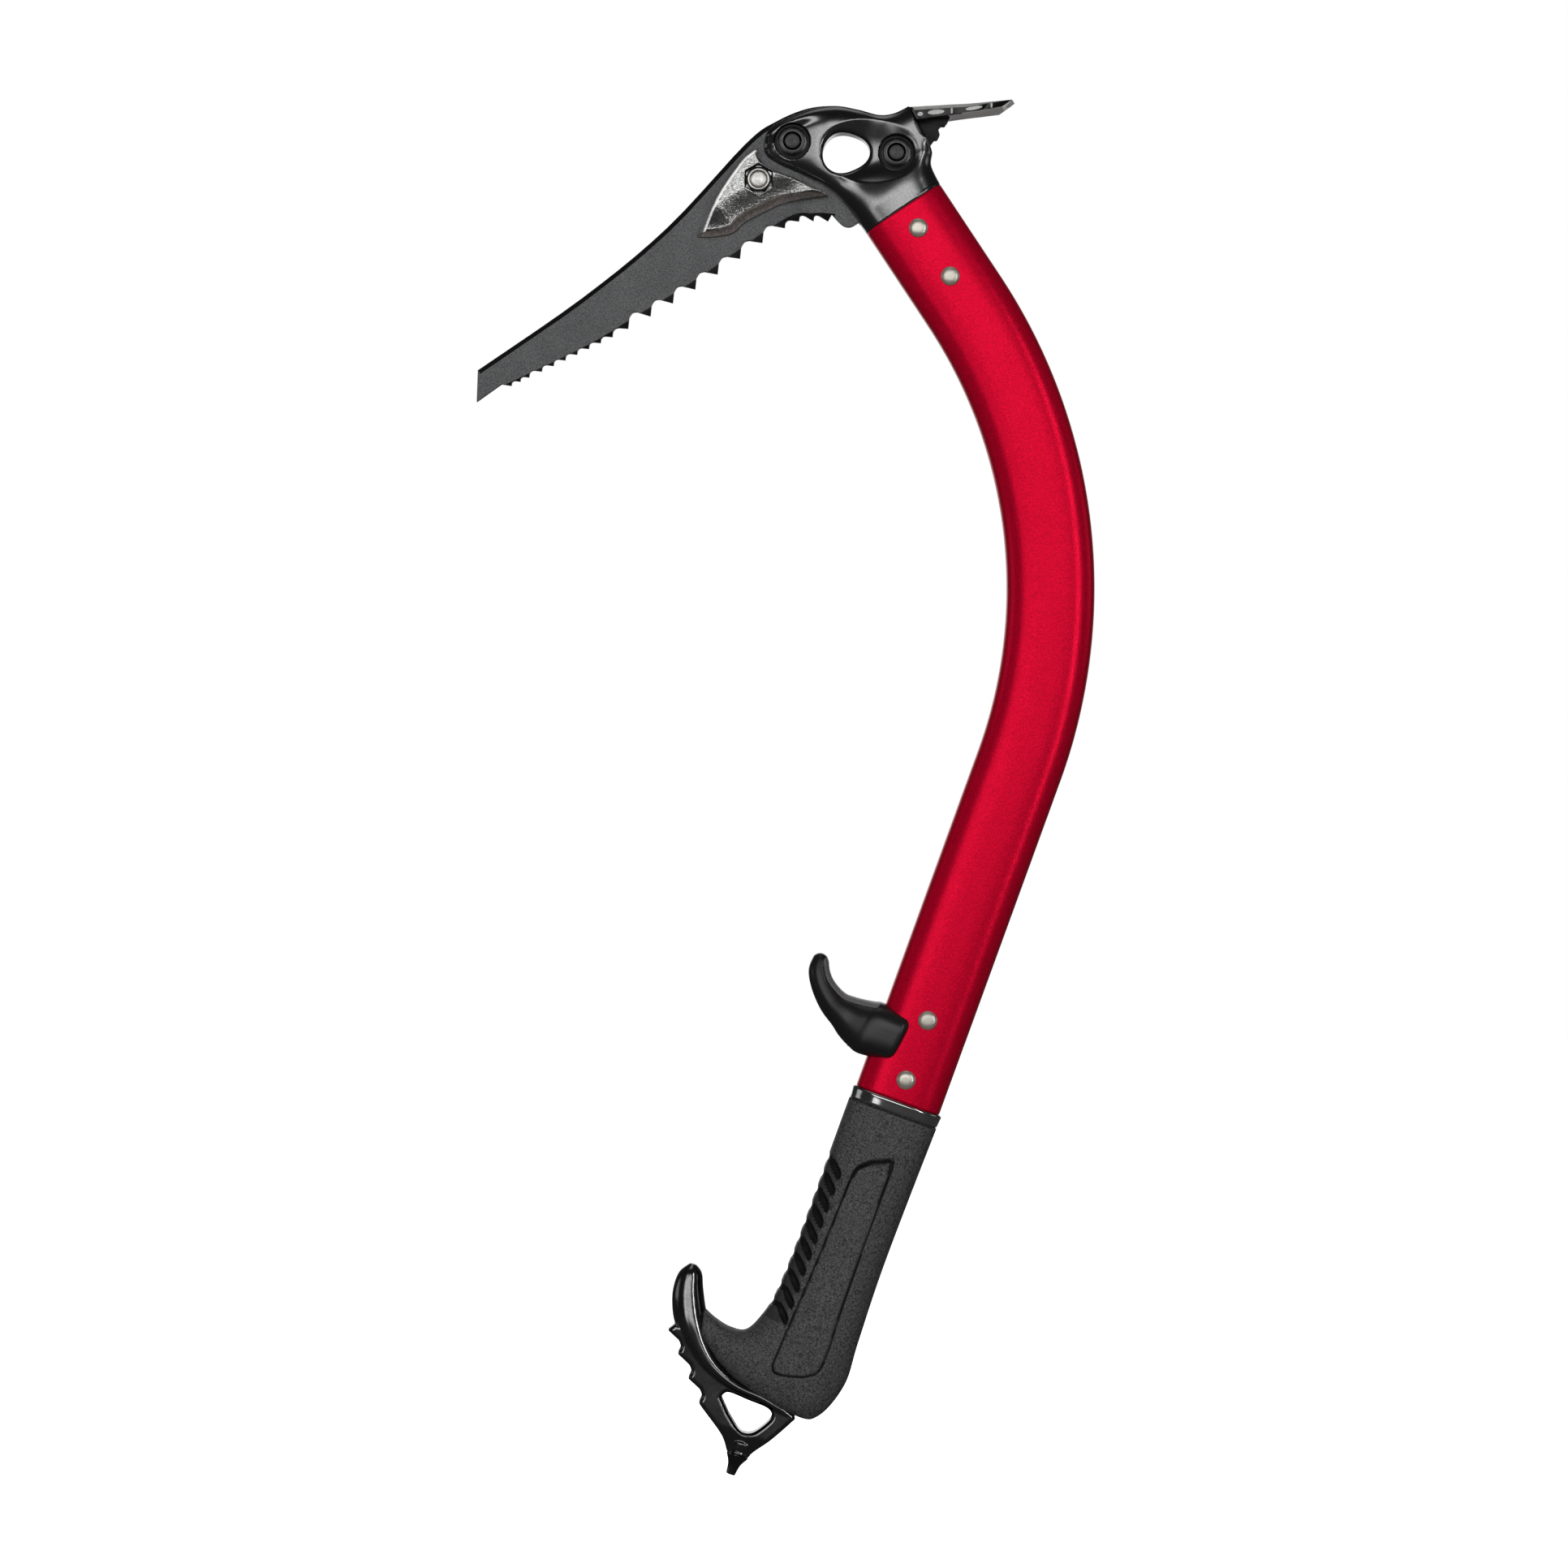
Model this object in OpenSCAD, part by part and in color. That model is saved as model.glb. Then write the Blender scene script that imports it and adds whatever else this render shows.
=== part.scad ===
// Ice climbing tool: a bent hollow shaft with a forged head, toothed pick, pick weights and adze,
// a plastic finger rest, and a rubber grip on a forged frame with a hooked pommel and a spike.
// Millimetres. The head's clip eye is at the origin, X runs towards the adze, Z runs up
// and Y runs across the tool from its near side to its far side.

/* [Shaft] */
// lean of the upper straight from vertical, in degrees
upper_lean = 33.5; // [29:0.5:37]
// lean of the lower straight from vertical, in degrees
lower_lean = 20; // [14:0.5:26]
// length of the upper straight below the head
upper_length = 40; // [39:1:60]
// radius of the bend at the middle of the tube
bend_radius = 189; // [150:1:240]
// length of the lower straight above the collar
lower_length = 129; // [100:1:170]
// width of the tube in the plane of the swing
shaft_width = 32; // [30:0.5:33.5]
// depth of the tube across the swing
shaft_depth = 21; // [20:0.5:22.5]
// corner radius of the tube
shaft_corner = 8; // [6:0.5:9]
// wall of the tube
shaft_wall = 1.6; // [1.2:0.1:2]

/* [Rivets] */
// diameter of a rivet's shank
rivet_diameter = 4; // [3:0.5:5]
// diameter of a rivet's domed head
rivet_head = 7; // [6.5:0.5:9]
// height of a rivet's dome
rivet_dome = 1.6; // [1:0.1:2.2]
// first head rivet below the head
head_rivet_inset = 9.4; // [8:0.2:11]
// spacing of the two head rivets
head_rivet_pitch = 20.9; // [16:0.1:22]
// first handle rivet above the collar
handle_rivet_inset = 8.1; // [7:0.1:9]
// spacing of the two handle rivets
handle_rivet_pitch = 22.9; // [21:0.1:40]

/* [Head] */
// length of the head from its front edge to the adze seat
head_length = 60.7; // [59.5:0.1:62]
// distance of the shaft joint behind the eye
neck_back = 21; // [20:0.2:22]
// distance of the shaft joint below the eye
neck_drop = 20; // [19:0.2:21]
// thickness of the head beside the eye
head_thickness = 16; // [15.2:0.2:18]
// rounding of the head's outer edges
head_edge = 5.5; // [4:0.1:6]
// length over which the head swells to the tube
neck_blend = 17; // [12:1:20]
// long width of the clip eye
eye_length = 17.2; // [15:0.2:18]
// short width of the clip eye
eye_height = 14.4; // [12:0.2:15]
// tilt of the clip eye, in degrees
eye_tilt = 12; // [0:1:20]
// how far the eye narrows to its rear, as a share of its size
eye_point = 0.05; // [0:0.01:0.06]
// depth of the dish round the eye
dish_depth = 1.6; // [0.5:0.1:2]

/* [Bolts] */
// diameter of the three bolts
bolt_diameter = 6; // [5:0.5:6]
// diameter of the clearance holes for the bolts
bolt_hole = 6.6; // [6.6:0.1:7]
// diameter of the bolt heads
bolt_head = 10; // [9:0.5:11]
// height of the bolt heads
bolt_head_height = 4; // [3:0.2:5]
// width across flats of the hex socket in a bolt head
bolt_socket = 4; // [3:0.5:5]
// height of the bolt seats above the middle plane
bolt_seat = 4.2; // [4:0.1:4.8]
// thickness of a bolt washer
washer_thickness = 1; // [0.8:0.1:1.5]
// diameter of a bolt washer
washer_diameter = 11.6; // [11.4:0.1:12]
// diameter of the round nuts in the head
nut_diameter = 10.4; // [9:0.2:12]
// thickness of the nuts
nut_thickness = 2.6; // [2:0.1:3]
// diameter of the round recesses over the bolt seats
bolt_recess = 13; // [12.6:0.2:14]
// width across flats of the weight bolt's nut
weight_nut_flats = 9.8; // [9:0.1:10.4]

/* [Pick] */
// reach of the pick's tip in front of the eye
pick_reach = 134; // [124:1:144]
// thickness of the pick
pick_thickness = 4; // [3.4:0.1:4.4]
// width of the bevel along the pick's back
back_bevel = 1.7; // [0.8:0.1:2.5]
// width of the bevels on the coarse teeth
tooth_bevel = 2.8; // [1.5:0.1:3.2]
// depth of the coarse teeth as a share of their pitch
coarse_depth = 0.6; // [0.4:0.02:0.66]
// depth of the fine teeth as a share of their pitch
fine_depth = 0.42; // [0.3:0.02:0.5]

/* [Pick weights] */
// thickness of each pick weight
weight_thickness = 5.2; // [4.6:0.1:6]
// width of the bevel along the lower edge of a weight
weight_bevel = 2.6; // [1:0.1:3]

/* [Adze] */
// reach of the adze's edge behind the eye
adze_reach = 61.5; // [57:0.5:67]
// width of the adze at its cutting edge
adze_width = 24; // [21:0.5:32]
// width of the adze blade at the head
adze_root_width = 18; // [16:0.5:20]
// thickness of the adze blade at the head
adze_thickness = 4.9; // [4.4:0.1:5.4]
// thickness of the adze blade above its cutting bevel
adze_end_thickness = 2.7; // [2:0.1:3.2]
// drop of the chamfers along the blade's upper edges at the head
adze_chamfer = 2.2; // [1.2:0.1:2.4]
// thickness of the adze tang
adze_tang = 5.2; // [4:0.1:5.4]
// depth of the scallops in the sides of the blade
adze_scallop = 1; // [0.4:0.1:1.4]

/* [Trigger] */
// thickness of the trigger saddle beside the tube
saddle_wall = 2.2; // [1.6:0.1:3]
// half width of the trigger horn across the swing
horn_half_width = 5.2; // [4:0.2:7]
// diameter of the trigger screw
trigger_screw_diameter = 5; // [4:0.5:6]
// diameter of the trigger screw's head
trigger_screw_head = 8.4; // [7.8:0.2:9]
// height of the trigger screw above the collar
trigger_screw_height = 15.5; // [14.5:0.1:16.5]

/* [Handle] */
// height of the collar ring
collar_height = 5; // [4:0.2:6]
// step of the collar's thin upper lip beyond the ring
collar_lip = 0.5; // [0.3:0.1:0.8]
// length of the handle from the tube's end to the spike boss's end
handle_length = 141; // [137:0.5:145]
// swell of the rubber grip beyond the tube on each side
grip_swell = 1.5; // [1.2:0.1:2]
// depth of the side panels in the grip
panel_depth = 0.8; // [0.4:0.1:1.2]
// number of grooves in the front of the grip
groove_count = 10; // [6:1:10]
// spacing of the grooves
groove_pitch = 6.2; // [5:0.1:6.2]
// distance of the first groove below the tube's end
groove_start = 28.3; // [26:0.2:30]
// width of a groove at the front
groove_width = 2.4; // [1.6:0.1:3]
// depth of a groove
groove_depth = 1.2; // [0.6:0.1:1.6]
// width of the frame's core inside the grip
core_width = 20; // [16:1:22]
// depth of the frame's core inside the grip
core_depth = 12; // [10:0.5:14]
// thickness of the pommel plate
pommel_thickness = 12; // [10:0.5:14]

/* [Spike] */
// length of the frame's core below the tube's end
core_length = 112; // [100:1:112]
// corner radius of the frame's core
core_corner = 4; // [2:0.5:5]
// height of the collar's lip
lip_height = 1.4; // [1:0.1:2]
// diameter of the spike's shank
spike_shank = 5; // [4:0.5:6]
// diameter of the spike where it leaves the boss
spike_base = 8.2; // [7:0.2:9.6]
// diameter of the spike below its flare
spike_neck = 4.6; // [3.4:0.2:6]
// length of the flare between the boss and the spike's neck
spike_flare = 3.4; // [2:0.2:5]
// depth of the spike's shank in the boss
spike_hold = 7; // [5:0.5:8]
// diameter of the spike's flat tip
spike_tip = 3.4; // [2:0.2:4]
// length of the spike below the boss
spike_length = 7.8; // [6:0.2:12]

/* [Hidden] */
// gap between pieces that are held tight together
fit = 0.05;
// gap round a blade in its slot
slot_gap = 0.1;
$fn = 64;

// directions along the upper straight and the lower straight, both pointing down
upper_way = [sin(upper_lean), -cos(upper_lean)];
lower_way = [-sin(lower_lean), -cos(lower_lean)];
// directions from the tube's middle to its back
upper_out = [cos(upper_lean), sin(upper_lean)];
lower_out = [cos(lower_lean), -sin(lower_lean)];
neck = [neck_back, -neck_drop];
bend_centre = neck + upper_length * upper_way - bend_radius * upper_out;
collar = bend_centre + bend_radius * lower_out + lower_length * lower_way;

head_tang = head_rivet_inset + head_rivet_pitch + 7;
handle_tang = handle_rivet_inset + handle_rivet_pitch + 8;

// outlines of the head and of what it holds are drawn for a head 60.7 long,
// and those of the handle for one 141 long
head_unit = head_length / 60.7;
handle_unit = handle_length / 141;
function on_head(points) = [for (p = points) head_unit * p];
function on_handle(points) = [for (p = points) handle_unit * p];
// a point of the pick, stretched forward in front of the head to give the pick its reach
pick_root = 30 * head_unit;
pick_stretch = (pick_reach - pick_root) / (134 * head_unit - pick_root);
function forward(x) = x < -pick_root ? -pick_root + (x + pick_root) * pick_stretch : x;
function on_pick(points) = [for (p = on_head(points)) [forward(p.x), p.y]];

// bolt positions in the head and through the weights
pick_bolt_at = head_unit * [-19.4, 4.1];
adze_bolt_at = head_unit * [18.4, 0];
weight_bolt_at = on_pick([[-31.6, -9.7]])[0];
washer_top = bolt_seat + fit + washer_thickness;
bolt_end = bolt_seat + nut_thickness;

// a value that eases from 0 at a to 1 at b
function ease(a, b, x) = let (t = min(max((x - a) / (b - a), 0), 1)) t * t * (3 - 2 * t);

// a smooth curve through the points p with n steps between neighbours
function curve_point(a, b, c, d, t) =
    0.5 * (2 * b + (c - a) * t + (2 * a - 5 * b + 4 * c - d) * t * t + (3 * b - a - 3 * c + d) * t * t * t);
function curve(p, n) = [
    for (i = [0:len(p) - 2]) for (k = [0:n - 1])
        curve_point(p[max(i - 1, 0)], p[i], p[i + 1], p[min(i + 2, len(p) - 1)], k / n),
    p[len(p) - 1]
];
// points on the straight from a to b without b
function straight(a, b, n) = [for (k = [0:n - 1]) a + (b - a) * k / n];
function without_last(p) = [for (i = [0:len(p) - 2]) p[i]];

// shortest distance from q to the line of points p
function segment_distance(q, a, b) =
    let (t = min(max((q - a) * (b - a) / ((b - a) * (b - a)), 0), 1)) norm(q - a - (b - a) * t);
function line_distance(q, p) = min([for (i = [0:len(p) - 2]) segment_distance(q, p[i], p[i + 1])]);

// fall of a rounded edge of radius r at distance d from the edge
function edge_fall(d, r) = d >= r ? 0 : r - sqrt(max(2 * r * d - d * d, 0));

// direction to the left of a line of points at point i
function left_of(p, i) =
    let (a = p[max(i - 1, 0)], b = p[min(i + 1, len(p) - 1)], v = (b - a) / norm(b - a)) [-v.y, v.x];

// faces between rings of n points, with the ends closed, or joined when looped
function ring_faces(rings, n, looped) = concat(
    [for (r = [0:rings - (looped ? 1 : 2)]) for (i = [0:n - 1]) for (half = [0, 1])
        let (s = (r + 1) % rings, j = (i + 1) % n)
        half == 0 ? [r * n + i, r * n + j, s * n + j] : [r * n + i, s * n + j, s * n + i]],
    looped ? [] : [for (i = [1:n - 2]) [0, i + 1, i]],
    looped ? [] : [for (i = [1:n - 2]) (rings - 1) * n * [1, 1, 1] + [0, i, i + 1]]
);
function inside_out(points, faces) =
    let (parts = [for (f = faces) points[f[0]] * cross(points[f[1]], points[f[2]])])
    parts * [for (f = faces) 1] > 0;

// a solid skinned over rings that have the same number of points
module skin(rings, looped = false) {
    points = [for (ring = rings) for (p = ring) p];
    faces = ring_faces(len(rings), len(rings[0]), looped);
    turned = inside_out(points, faces);
    polyhedron(points, turned ? [for (f = faces) [f[0], f[2], f[1]]] : faces);
}

// a rounded ring between two edge points, with half depth h and squareness p
function pair_ring(a, b, h, p, n) = [
    for (i = [0:n - 1])
        let (c = cos(360 * i / n), s = sin(360 * i / n))
        let (x = sign(c) * pow(abs(c), 2 / p), y = sign(s) * pow(abs(s), 2 / p))
        let (m = (a + b) / 2 + (a - b) / 2 * x)
        [m.x, h * y, m.y]
];
// a solid between two edge curves
module pair_loft(inner, outer, depth, square, n, steps) {
    a = curve(inner, steps);
    b = curve(outer, steps);
    h = curve(depth, steps);
    p = curve(square, steps);
    skin([for (i = [0:len(a) - 1]) pair_ring(a[i], b[i], h[i], p[i], n)]);
}

// a wedge that bevels the far face of a plate along a line of points, left of the line being metal
module edge_wedge(p, widths, slope, face) {
    skin([for (i = [0:len(p) - 1])
        let (v = left_of(p, i), w = widths[i])
        [for (q = [[w, face], [-2, face - slope * (w + 2)], [-2, face + 1], [w, face + 1]])
            [p[i].x + v.x * q.x, q.y, p[i].y + v.y * q.x]]]);
}
module both_sides() {
    children();
    mirror([0, 1, 0]) children();
}

// local frames: Z runs up the tube and X runs to its back
module at_neck() {
    translate([neck.x, 0, neck.y]) rotate([0, -upper_lean, 0]) children();
}
module at_collar() {
    translate([collar.x, 0, collar.y]) rotate([0, lower_lean, 0]) children();
}
module at_point(p) {
    translate([p.x, 0, p.y]) children();
}
// a flat plate between y0 and y1 from an outline in X and Z
module plate(y0, y1) {
    translate([0, y1, 0]) rotate([90, 0, 0]) linear_extrude(y1 - y0) children();
}
// a rod along Y, and a rod along X
module y_rod(d, y0, y1) {
    translate([0, y1, 0]) rotate([90, 0, 0]) cylinder(d = d, h = y1 - y0);
}
module x_rod(d, x0, x1) {
    translate([x0, 0, 0]) rotate([0, 90, 0]) cylinder(d = d, h = x1 - x0);
}

module rounded_rectangle(w, d, r) {
    square([w - 2 * r, d], center = true);
    square([w, d - 2 * r], center = true);
    for (x = [-1, 1], y = [-1, 1]) {
        translate([x * (w / 2 - r), y * (d / 2 - r)]) circle(r = r);
    }
}
module tube_section(grow) {
    rounded_rectangle(shaft_width + 2 * grow, shaft_depth + 2 * grow, shaft_corner + grow);
}

// the tube, with holes for the rivets and the trigger screw; the bend is a hair slimmer than the straights
// and runs a hair into them
module tube_wall(slim) {
    difference() {
        tube_section(-slim);
        tube_section(slim - shaft_wall);
    }
}
module bend() {
    turn = upper_lean + lower_lean;
    translate([bend_centre.x, 0, bend_centre.y]) rotate([90, 0, 0]) rotate([0, 0, -lower_lean - 0.05])
        rotate_extrude(angle = turn + 0.1, $fn = 180) translate([bend_radius, 0]) tube_wall(0.02);
}
module shaft() {
    color("firebrick") difference() {
        union() {
            at_neck() translate([0, 0, -upper_length]) linear_extrude(upper_length) tube_wall(0);
            bend();
            at_collar() linear_extrude(lower_length) tube_wall(0);
        }
        head_rivet_places() y_rod(rivet_diameter + 2 * fit, -shaft_depth, shaft_depth);
        handle_rivet_places() y_rod(rivet_diameter + 2 * fit, -shaft_depth, shaft_depth);
        trigger_screw_place() x_rod(trigger_screw_diameter + 4 * fit, -shaft_width, -shaft_wall);
    }
}

// rivets
module head_rivet_places() {
    for (k = [0, 1]) {
        at_neck() translate([0, 0, -head_rivet_inset - k * head_rivet_pitch]) children();
    }
}
module handle_rivet_places() {
    for (k = [0, 1]) {
        at_collar() translate([0, 0, handle_rivet_inset + k * handle_rivet_pitch]) children();
    }
}
dome_radius = (rivet_head * rivet_head / 4 + rivet_dome * rivet_dome) / (2 * rivet_dome);
module rivet() {
    y_rod(rivet_diameter, -shaft_depth / 2 - fit, shaft_depth / 2 + fit);
    both_sides() intersection() {
        translate([0, shaft_depth / 2 + fit + rivet_dome - dome_radius, 0]) sphere(r = dome_radius);
        y_rod(rivet_head + 1, shaft_depth / 2 + fit, shaft_depth / 2 + fit + 2 * rivet_dome);
    }
}
module head_rivets() {
    color("silver") head_rivet_places() rivet();
}
module handle_rivets() {
    color("silver") handle_rivet_places() rivet();
}

// outline of the head: front edge from the neck over the cheek and top to the adze seat, then the rear
neck_front = neck - shaft_width / 2 * upper_out;
neck_rear = neck + shaft_width / 2 * upper_out;
seat_top = head_unit * [22.9, 17];
seat_low = head_unit * [30.2, 3.4];
seat_way = (seat_low - seat_top) / norm(seat_low - seat_top);
head_front = curve(concat([neck_front], on_head([[-4, -14.2], [-14, -8.4], [-24, -4.2], [-29.3, -0.2],
    [-29.3, 5.5], [-25.5, 10.4], [-14, 15.3], [-4, 17], [4.5, 15.7], [12, 13.8], [17.5, 14.4]]),
    [seat_top]), 4);
head_rear = curve(concat([seat_low], on_head([[31.4, 0.2], [31.2, -4.5]]), [neck_rear]), 4);
head_rim = concat(without_last(head_front), straight(seat_top, seat_low, 4), head_rear);
neck_steps = [0.97, 0.9, 0.8, 0.66, 0.5, 0.25, 0, -0.25, -0.5, -0.66, -0.8, -0.9, -0.97];
head_outline = concat(head_rim, [for (k = neck_steps) neck + k * shaft_width / 2 * upper_out]);

function eye_radius(q) =
    (1 + eye_point * (cos(3 * q) - cos(q) / 2))
    / norm([cos(q - eye_tilt) / (eye_length / 2), sin(q - eye_tilt) / (eye_height / 2)]);
function tube_half_depth(u) =
    let (c = max(abs(u) - shaft_width / 2 + shaft_corner, 0))
    shaft_depth / 2 - shaft_corner + sqrt(max(shaft_corner * shaft_corner - c * c, 0));
// half the thickness of the head at a point: swollen at the neck, rounded at its edges, dished at the eye
function head_half_depth(p) =
    let (s = ease(0, neck_blend, -(p - neck) * upper_way))
    let (flat = (shaft_depth + (head_thickness - shaft_depth) * s) / 2)
    let (edge = shaft_corner + (head_edge - shaft_corner) * s)
    let (eye_gap = norm(p) - eye_radius(atan2(p.y, p.x)))
    let (dish = 1 - pow(min(segment_distance(p, [-2, 0], adze_bolt_at * 0.6) / (14 * head_unit), 1), 2))
    let (round_gap = min(line_distance(p, head_front), line_distance(p, head_rear)))
    let (fall = max(edge_fall(round_gap, edge), edge_fall(segment_distance(p, seat_top, seat_low), 1.2)))
    flat - fall - edge_fall(max(eye_gap, 0), 1.6) - dish_depth * dish * dish;
// the head at a share s of the way from the eye to the outline
head_shares = [0, 0.06, 0.14, 0.3, 0.5, 0.68, 0.81, 0.9, 0.96, 1];
function head_point(q, s) =
    let (a = atan2(q.y, q.x), e = eye_radius(a) * [cos(a), sin(a)]) e + s * (q - e);
function head_ring(s, side) = [
    for (i = [0:len(head_outline) - 1])
        let (p = head_point(head_outline[i], s))
        let (on_neck = s == 1 && i >= len(head_rim))
        let (h = on_neck ? tube_half_depth((p - neck) * upper_out) : head_half_depth(p))
        [p.x, side * h, p.y]
];
module head_forging() {
    n = len(head_shares) - 1;
    skin(concat([for (k = [0:n]) head_ring(head_shares[k], -1)],
        [for (k = [n:-1:0]) head_ring(head_shares[k], 1)]), looped = true);
}
module bolt_holes(d) {
    for (p = [pick_bolt_at, adze_bolt_at]) {
        at_point(p) y_rod(d, -20, 20);
    }
}
module head() {
    color("dimgray") difference() {
        union() {
            head_forging();
            at_neck() translate([0, 0, -head_tang]) linear_extrude(head_tang + 3)
                tube_section(-shaft_wall - fit);
        }
        plate(-pick_thickness / 2 - slot_gap, pick_thickness / 2 + slot_gap)
            offset(delta = slot_gap) polygon(pick_blank);
        plate(-adze_tang / 2 - slot_gap, adze_tang / 2 + slot_gap) offset(delta = slot_gap) adze_tang_shape();
        bolt_holes(bolt_hole);
        for (p = [pick_bolt_at, adze_bolt_at]) {
            at_point(p) both_sides() y_rod(bolt_recess, bolt_seat, 20);
        }
        head_rivet_places() y_rod(rivet_diameter + 2 * fit, -shaft_depth, shaft_depth);
    }
}

// pick: back edge from the tip to the head, tang round the eye, heel, and teeth along a gentle curve
pick_tip = head_unit * [0, -90] - [pick_reach, 0];
pick_back = curve(on_pick([[-133.6, -78.5], [-95.6, -52.2], [-64.9, -26.8], [-36.3, 3.8], [-25.1, 11.9],
    [-13.9, 16.5], [-4, 17.5], [2.5, 16.6]]), 5);
pick_tang = curve(on_head([[2.5, 11.8], [-6.5, 11], [-11.8, 5], [-11.8, -3.5], [-7.3, -9.8], [-0.5, -12],
    [8.3, -22]]), 4);
pick_heel = curve(on_head([[4.4, -25.1], [1.8, -26.5], [-0.9, -26], [-3.5, -23.6], [-5, -21.9]]), 3);
tooth_line = curve(on_pick([[-128, -87.3], [-85, -66.6], [-55, -49.4], [-22, -26.8], [-12, -24.4],
    [-4, -24.6]]), 8);
drawn_tooth_x = concat([for (k = [0:2]) -121.4 + 3.2 * k], [for (k = [0:6]) -110.4 + 4.28 * k],
    [for (k = [0:7]) -79 + 8.13 * k], [for (k = [0:2]) -16.9 + 5.25 * k]);
tooth_x = [for (x = drawn_tooth_x) forward(head_unit * x)];
function tooth(k) = [tooth_x[k], lookup(tooth_x[k], tooth_line)];
// a tooth gap: a steep face on its left, a rounded root and a flat run to the next point on its right
function tooth_gap(k) =
    let (a = tooth(k), b = tooth(k + 1), pitch = b.x - a.x)
    let (depth = pitch * (pitch > 6.5 * head_unit ? coarse_depth : fine_depth))
    curve([for (g = [[0.42, 0.85], [0.2, 1], [0.05, 0.78]]) a + g.x * (b - a) + [0, g.y * depth]], 3);
last_tooth = len(tooth_x) - 1;
pick_teeth = [for (k = [last_tooth - 1:-1:0]) each concat([tooth(k + 1)], tooth_gap(k))];
pick_point = concat([tooth(0)], on_pick([[-125, -83.6]]), [pick_tip]);
pick_blank = concat(pick_back, pick_tang, pick_heel, [tooth(last_tooth), tooth(10), pick_tip]);
tooth_bevels = [for (p = tooth_line) tooth_bevel * (0.45 + 0.55 * ease(-0.71, -0.52, p.x / pick_reach))];
module pick() {
    color("slategray") difference() {
        plate(-pick_thickness / 2, pick_thickness / 2)
            polygon(concat(pick_back, pick_tang, pick_heel, pick_teeth, pick_point));
        both_sides() edge_wedge(tooth_line, tooth_bevels, 0.42, pick_thickness / 2);
        both_sides() edge_wedge([for (i = [len(pick_back) - 1:-1:0]) pick_back[i]],
            [for (p = pick_back) back_bevel], 0.7, pick_thickness / 2);
        at_point(pick_bolt_at) y_rod(bolt_hole, -20, 20);
        at_point(weight_bolt_at) y_rod(bolt_hole, -20, 20);
    }
}

// bolts: head and washer on the far side, nut on the near side
module bolt() {
    difference() {
        y_rod(bolt_head, washer_top, washer_top + bolt_head_height);
        y_rod(bolt_socket / cos(30), washer_top + bolt_head_height * 0.4, washer_top + 10, $fn = 6);
    }
    y_rod(bolt_diameter, -bolt_end + 0.5, washer_top);
    translate([0, -bolt_end + 0.5, 0]) rotate([90, 0, 0])
        cylinder(d1 = bolt_diameter, d2 = bolt_diameter - 0.8, h = 0.5);
}
module washer() {
    difference() {
        y_rod(washer_diameter, bolt_seat + fit, washer_top);
        y_rod(bolt_diameter + 2 * fit, 0, 20);
    }
}
module nut_bore() {
    y_rod(bolt_diameter + 2 * fit, -20, 0);
    translate([0, -bolt_end + 0.6, 0]) rotate([90, 0, 0])
        cylinder(d1 = bolt_diameter, d2 = bolt_diameter + 2, h = 1);
}
module round_nut() {
    difference() {
        y_rod(nut_diameter, -bolt_end, -bolt_seat);
        nut_bore();
    }
}
module hex_nut() {
    difference() {
        rotate([0, 30, 0]) y_rod(weight_nut_flats / cos(30), -bolt_end, -bolt_seat, $fn = 6);
        nut_bore();
    }
}
module pick_bolt() {
    color("silver") at_point(pick_bolt_at) bolt();
}
module pick_washer() {
    color("silver") at_point(pick_bolt_at) washer();
}
module pick_nut() {
    color("gray") at_point(pick_bolt_at) round_nut();
}
module adze_bolt() {
    color("silver") at_point(adze_bolt_at) bolt();
}
module adze_washer() {
    color("silver") at_point(adze_bolt_at) washer();
}
module adze_nut() {
    color("gray") at_point(adze_bolt_at) round_nut();
}
module weight_bolt() {
    color("silver") at_point(weight_bolt_at) bolt();
}
module weight_washer() {
    color("silver") at_point(weight_bolt_at) washer();
}
module weight_nut() {
    color("gray") at_point(weight_bolt_at) hex_nut();
}

// pick weights: a crescent on each side of the pick, bevelled round its outer face
weight_left = curve(on_pick([[-32.7, 2.7], [-39.3, -4], [-44.8, -11.1], [-49.5, -19.8], [-54.1, -30.2]]), 4);
weight_low = curve(on_pick([[-54.1, -30.2], [-48.2, -30.3], [-41, -28.8], [-36.6, -25], [-29, -21],
    [-21.1, -17.8], [-6.3, -15.4]]), 4);
weight_high = curve(on_pick([[-6.3, -15.4], [-17.1, -9.8], [-25.5, -6.6], [-29.6, -4.4], [-31.9, -1],
    [-32.7, 2.7]]), 4);
weight_face = pick_thickness / 2 + fit + weight_thickness;
module weight_blank() {
    difference() {
        plate(pick_thickness / 2 + fit, weight_face)
            polygon(concat(without_last(weight_left), without_last(weight_low), without_last(weight_high)));
        edge_wedge(weight_left, [for (p = weight_left) 1], 1, weight_face);
        edge_wedge(weight_low, [for (p = weight_low) weight_bevel], 0.9, weight_face);
        edge_wedge(weight_high, [for (p = weight_high) 0.8], 1, weight_face);
        at_point(weight_bolt_at) y_rod(bolt_hole, -20, 20);
    }
}
module weight_near() {
    color("lightgray") difference() {
        mirror([0, 1, 0]) weight_blank();
        at_point(weight_bolt_at) rotate([0, 30, 0])
            y_rod((weight_nut_flats + 2 * slot_gap) / cos(30), -20, -bolt_seat, $fn = 6);
    }
}
module weight_far() {
    color("lightgray") difference() {
        weight_blank();
        at_point(weight_bolt_at) y_rod(washer_diameter + 0.8, bolt_seat, 20);
    }
}

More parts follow.
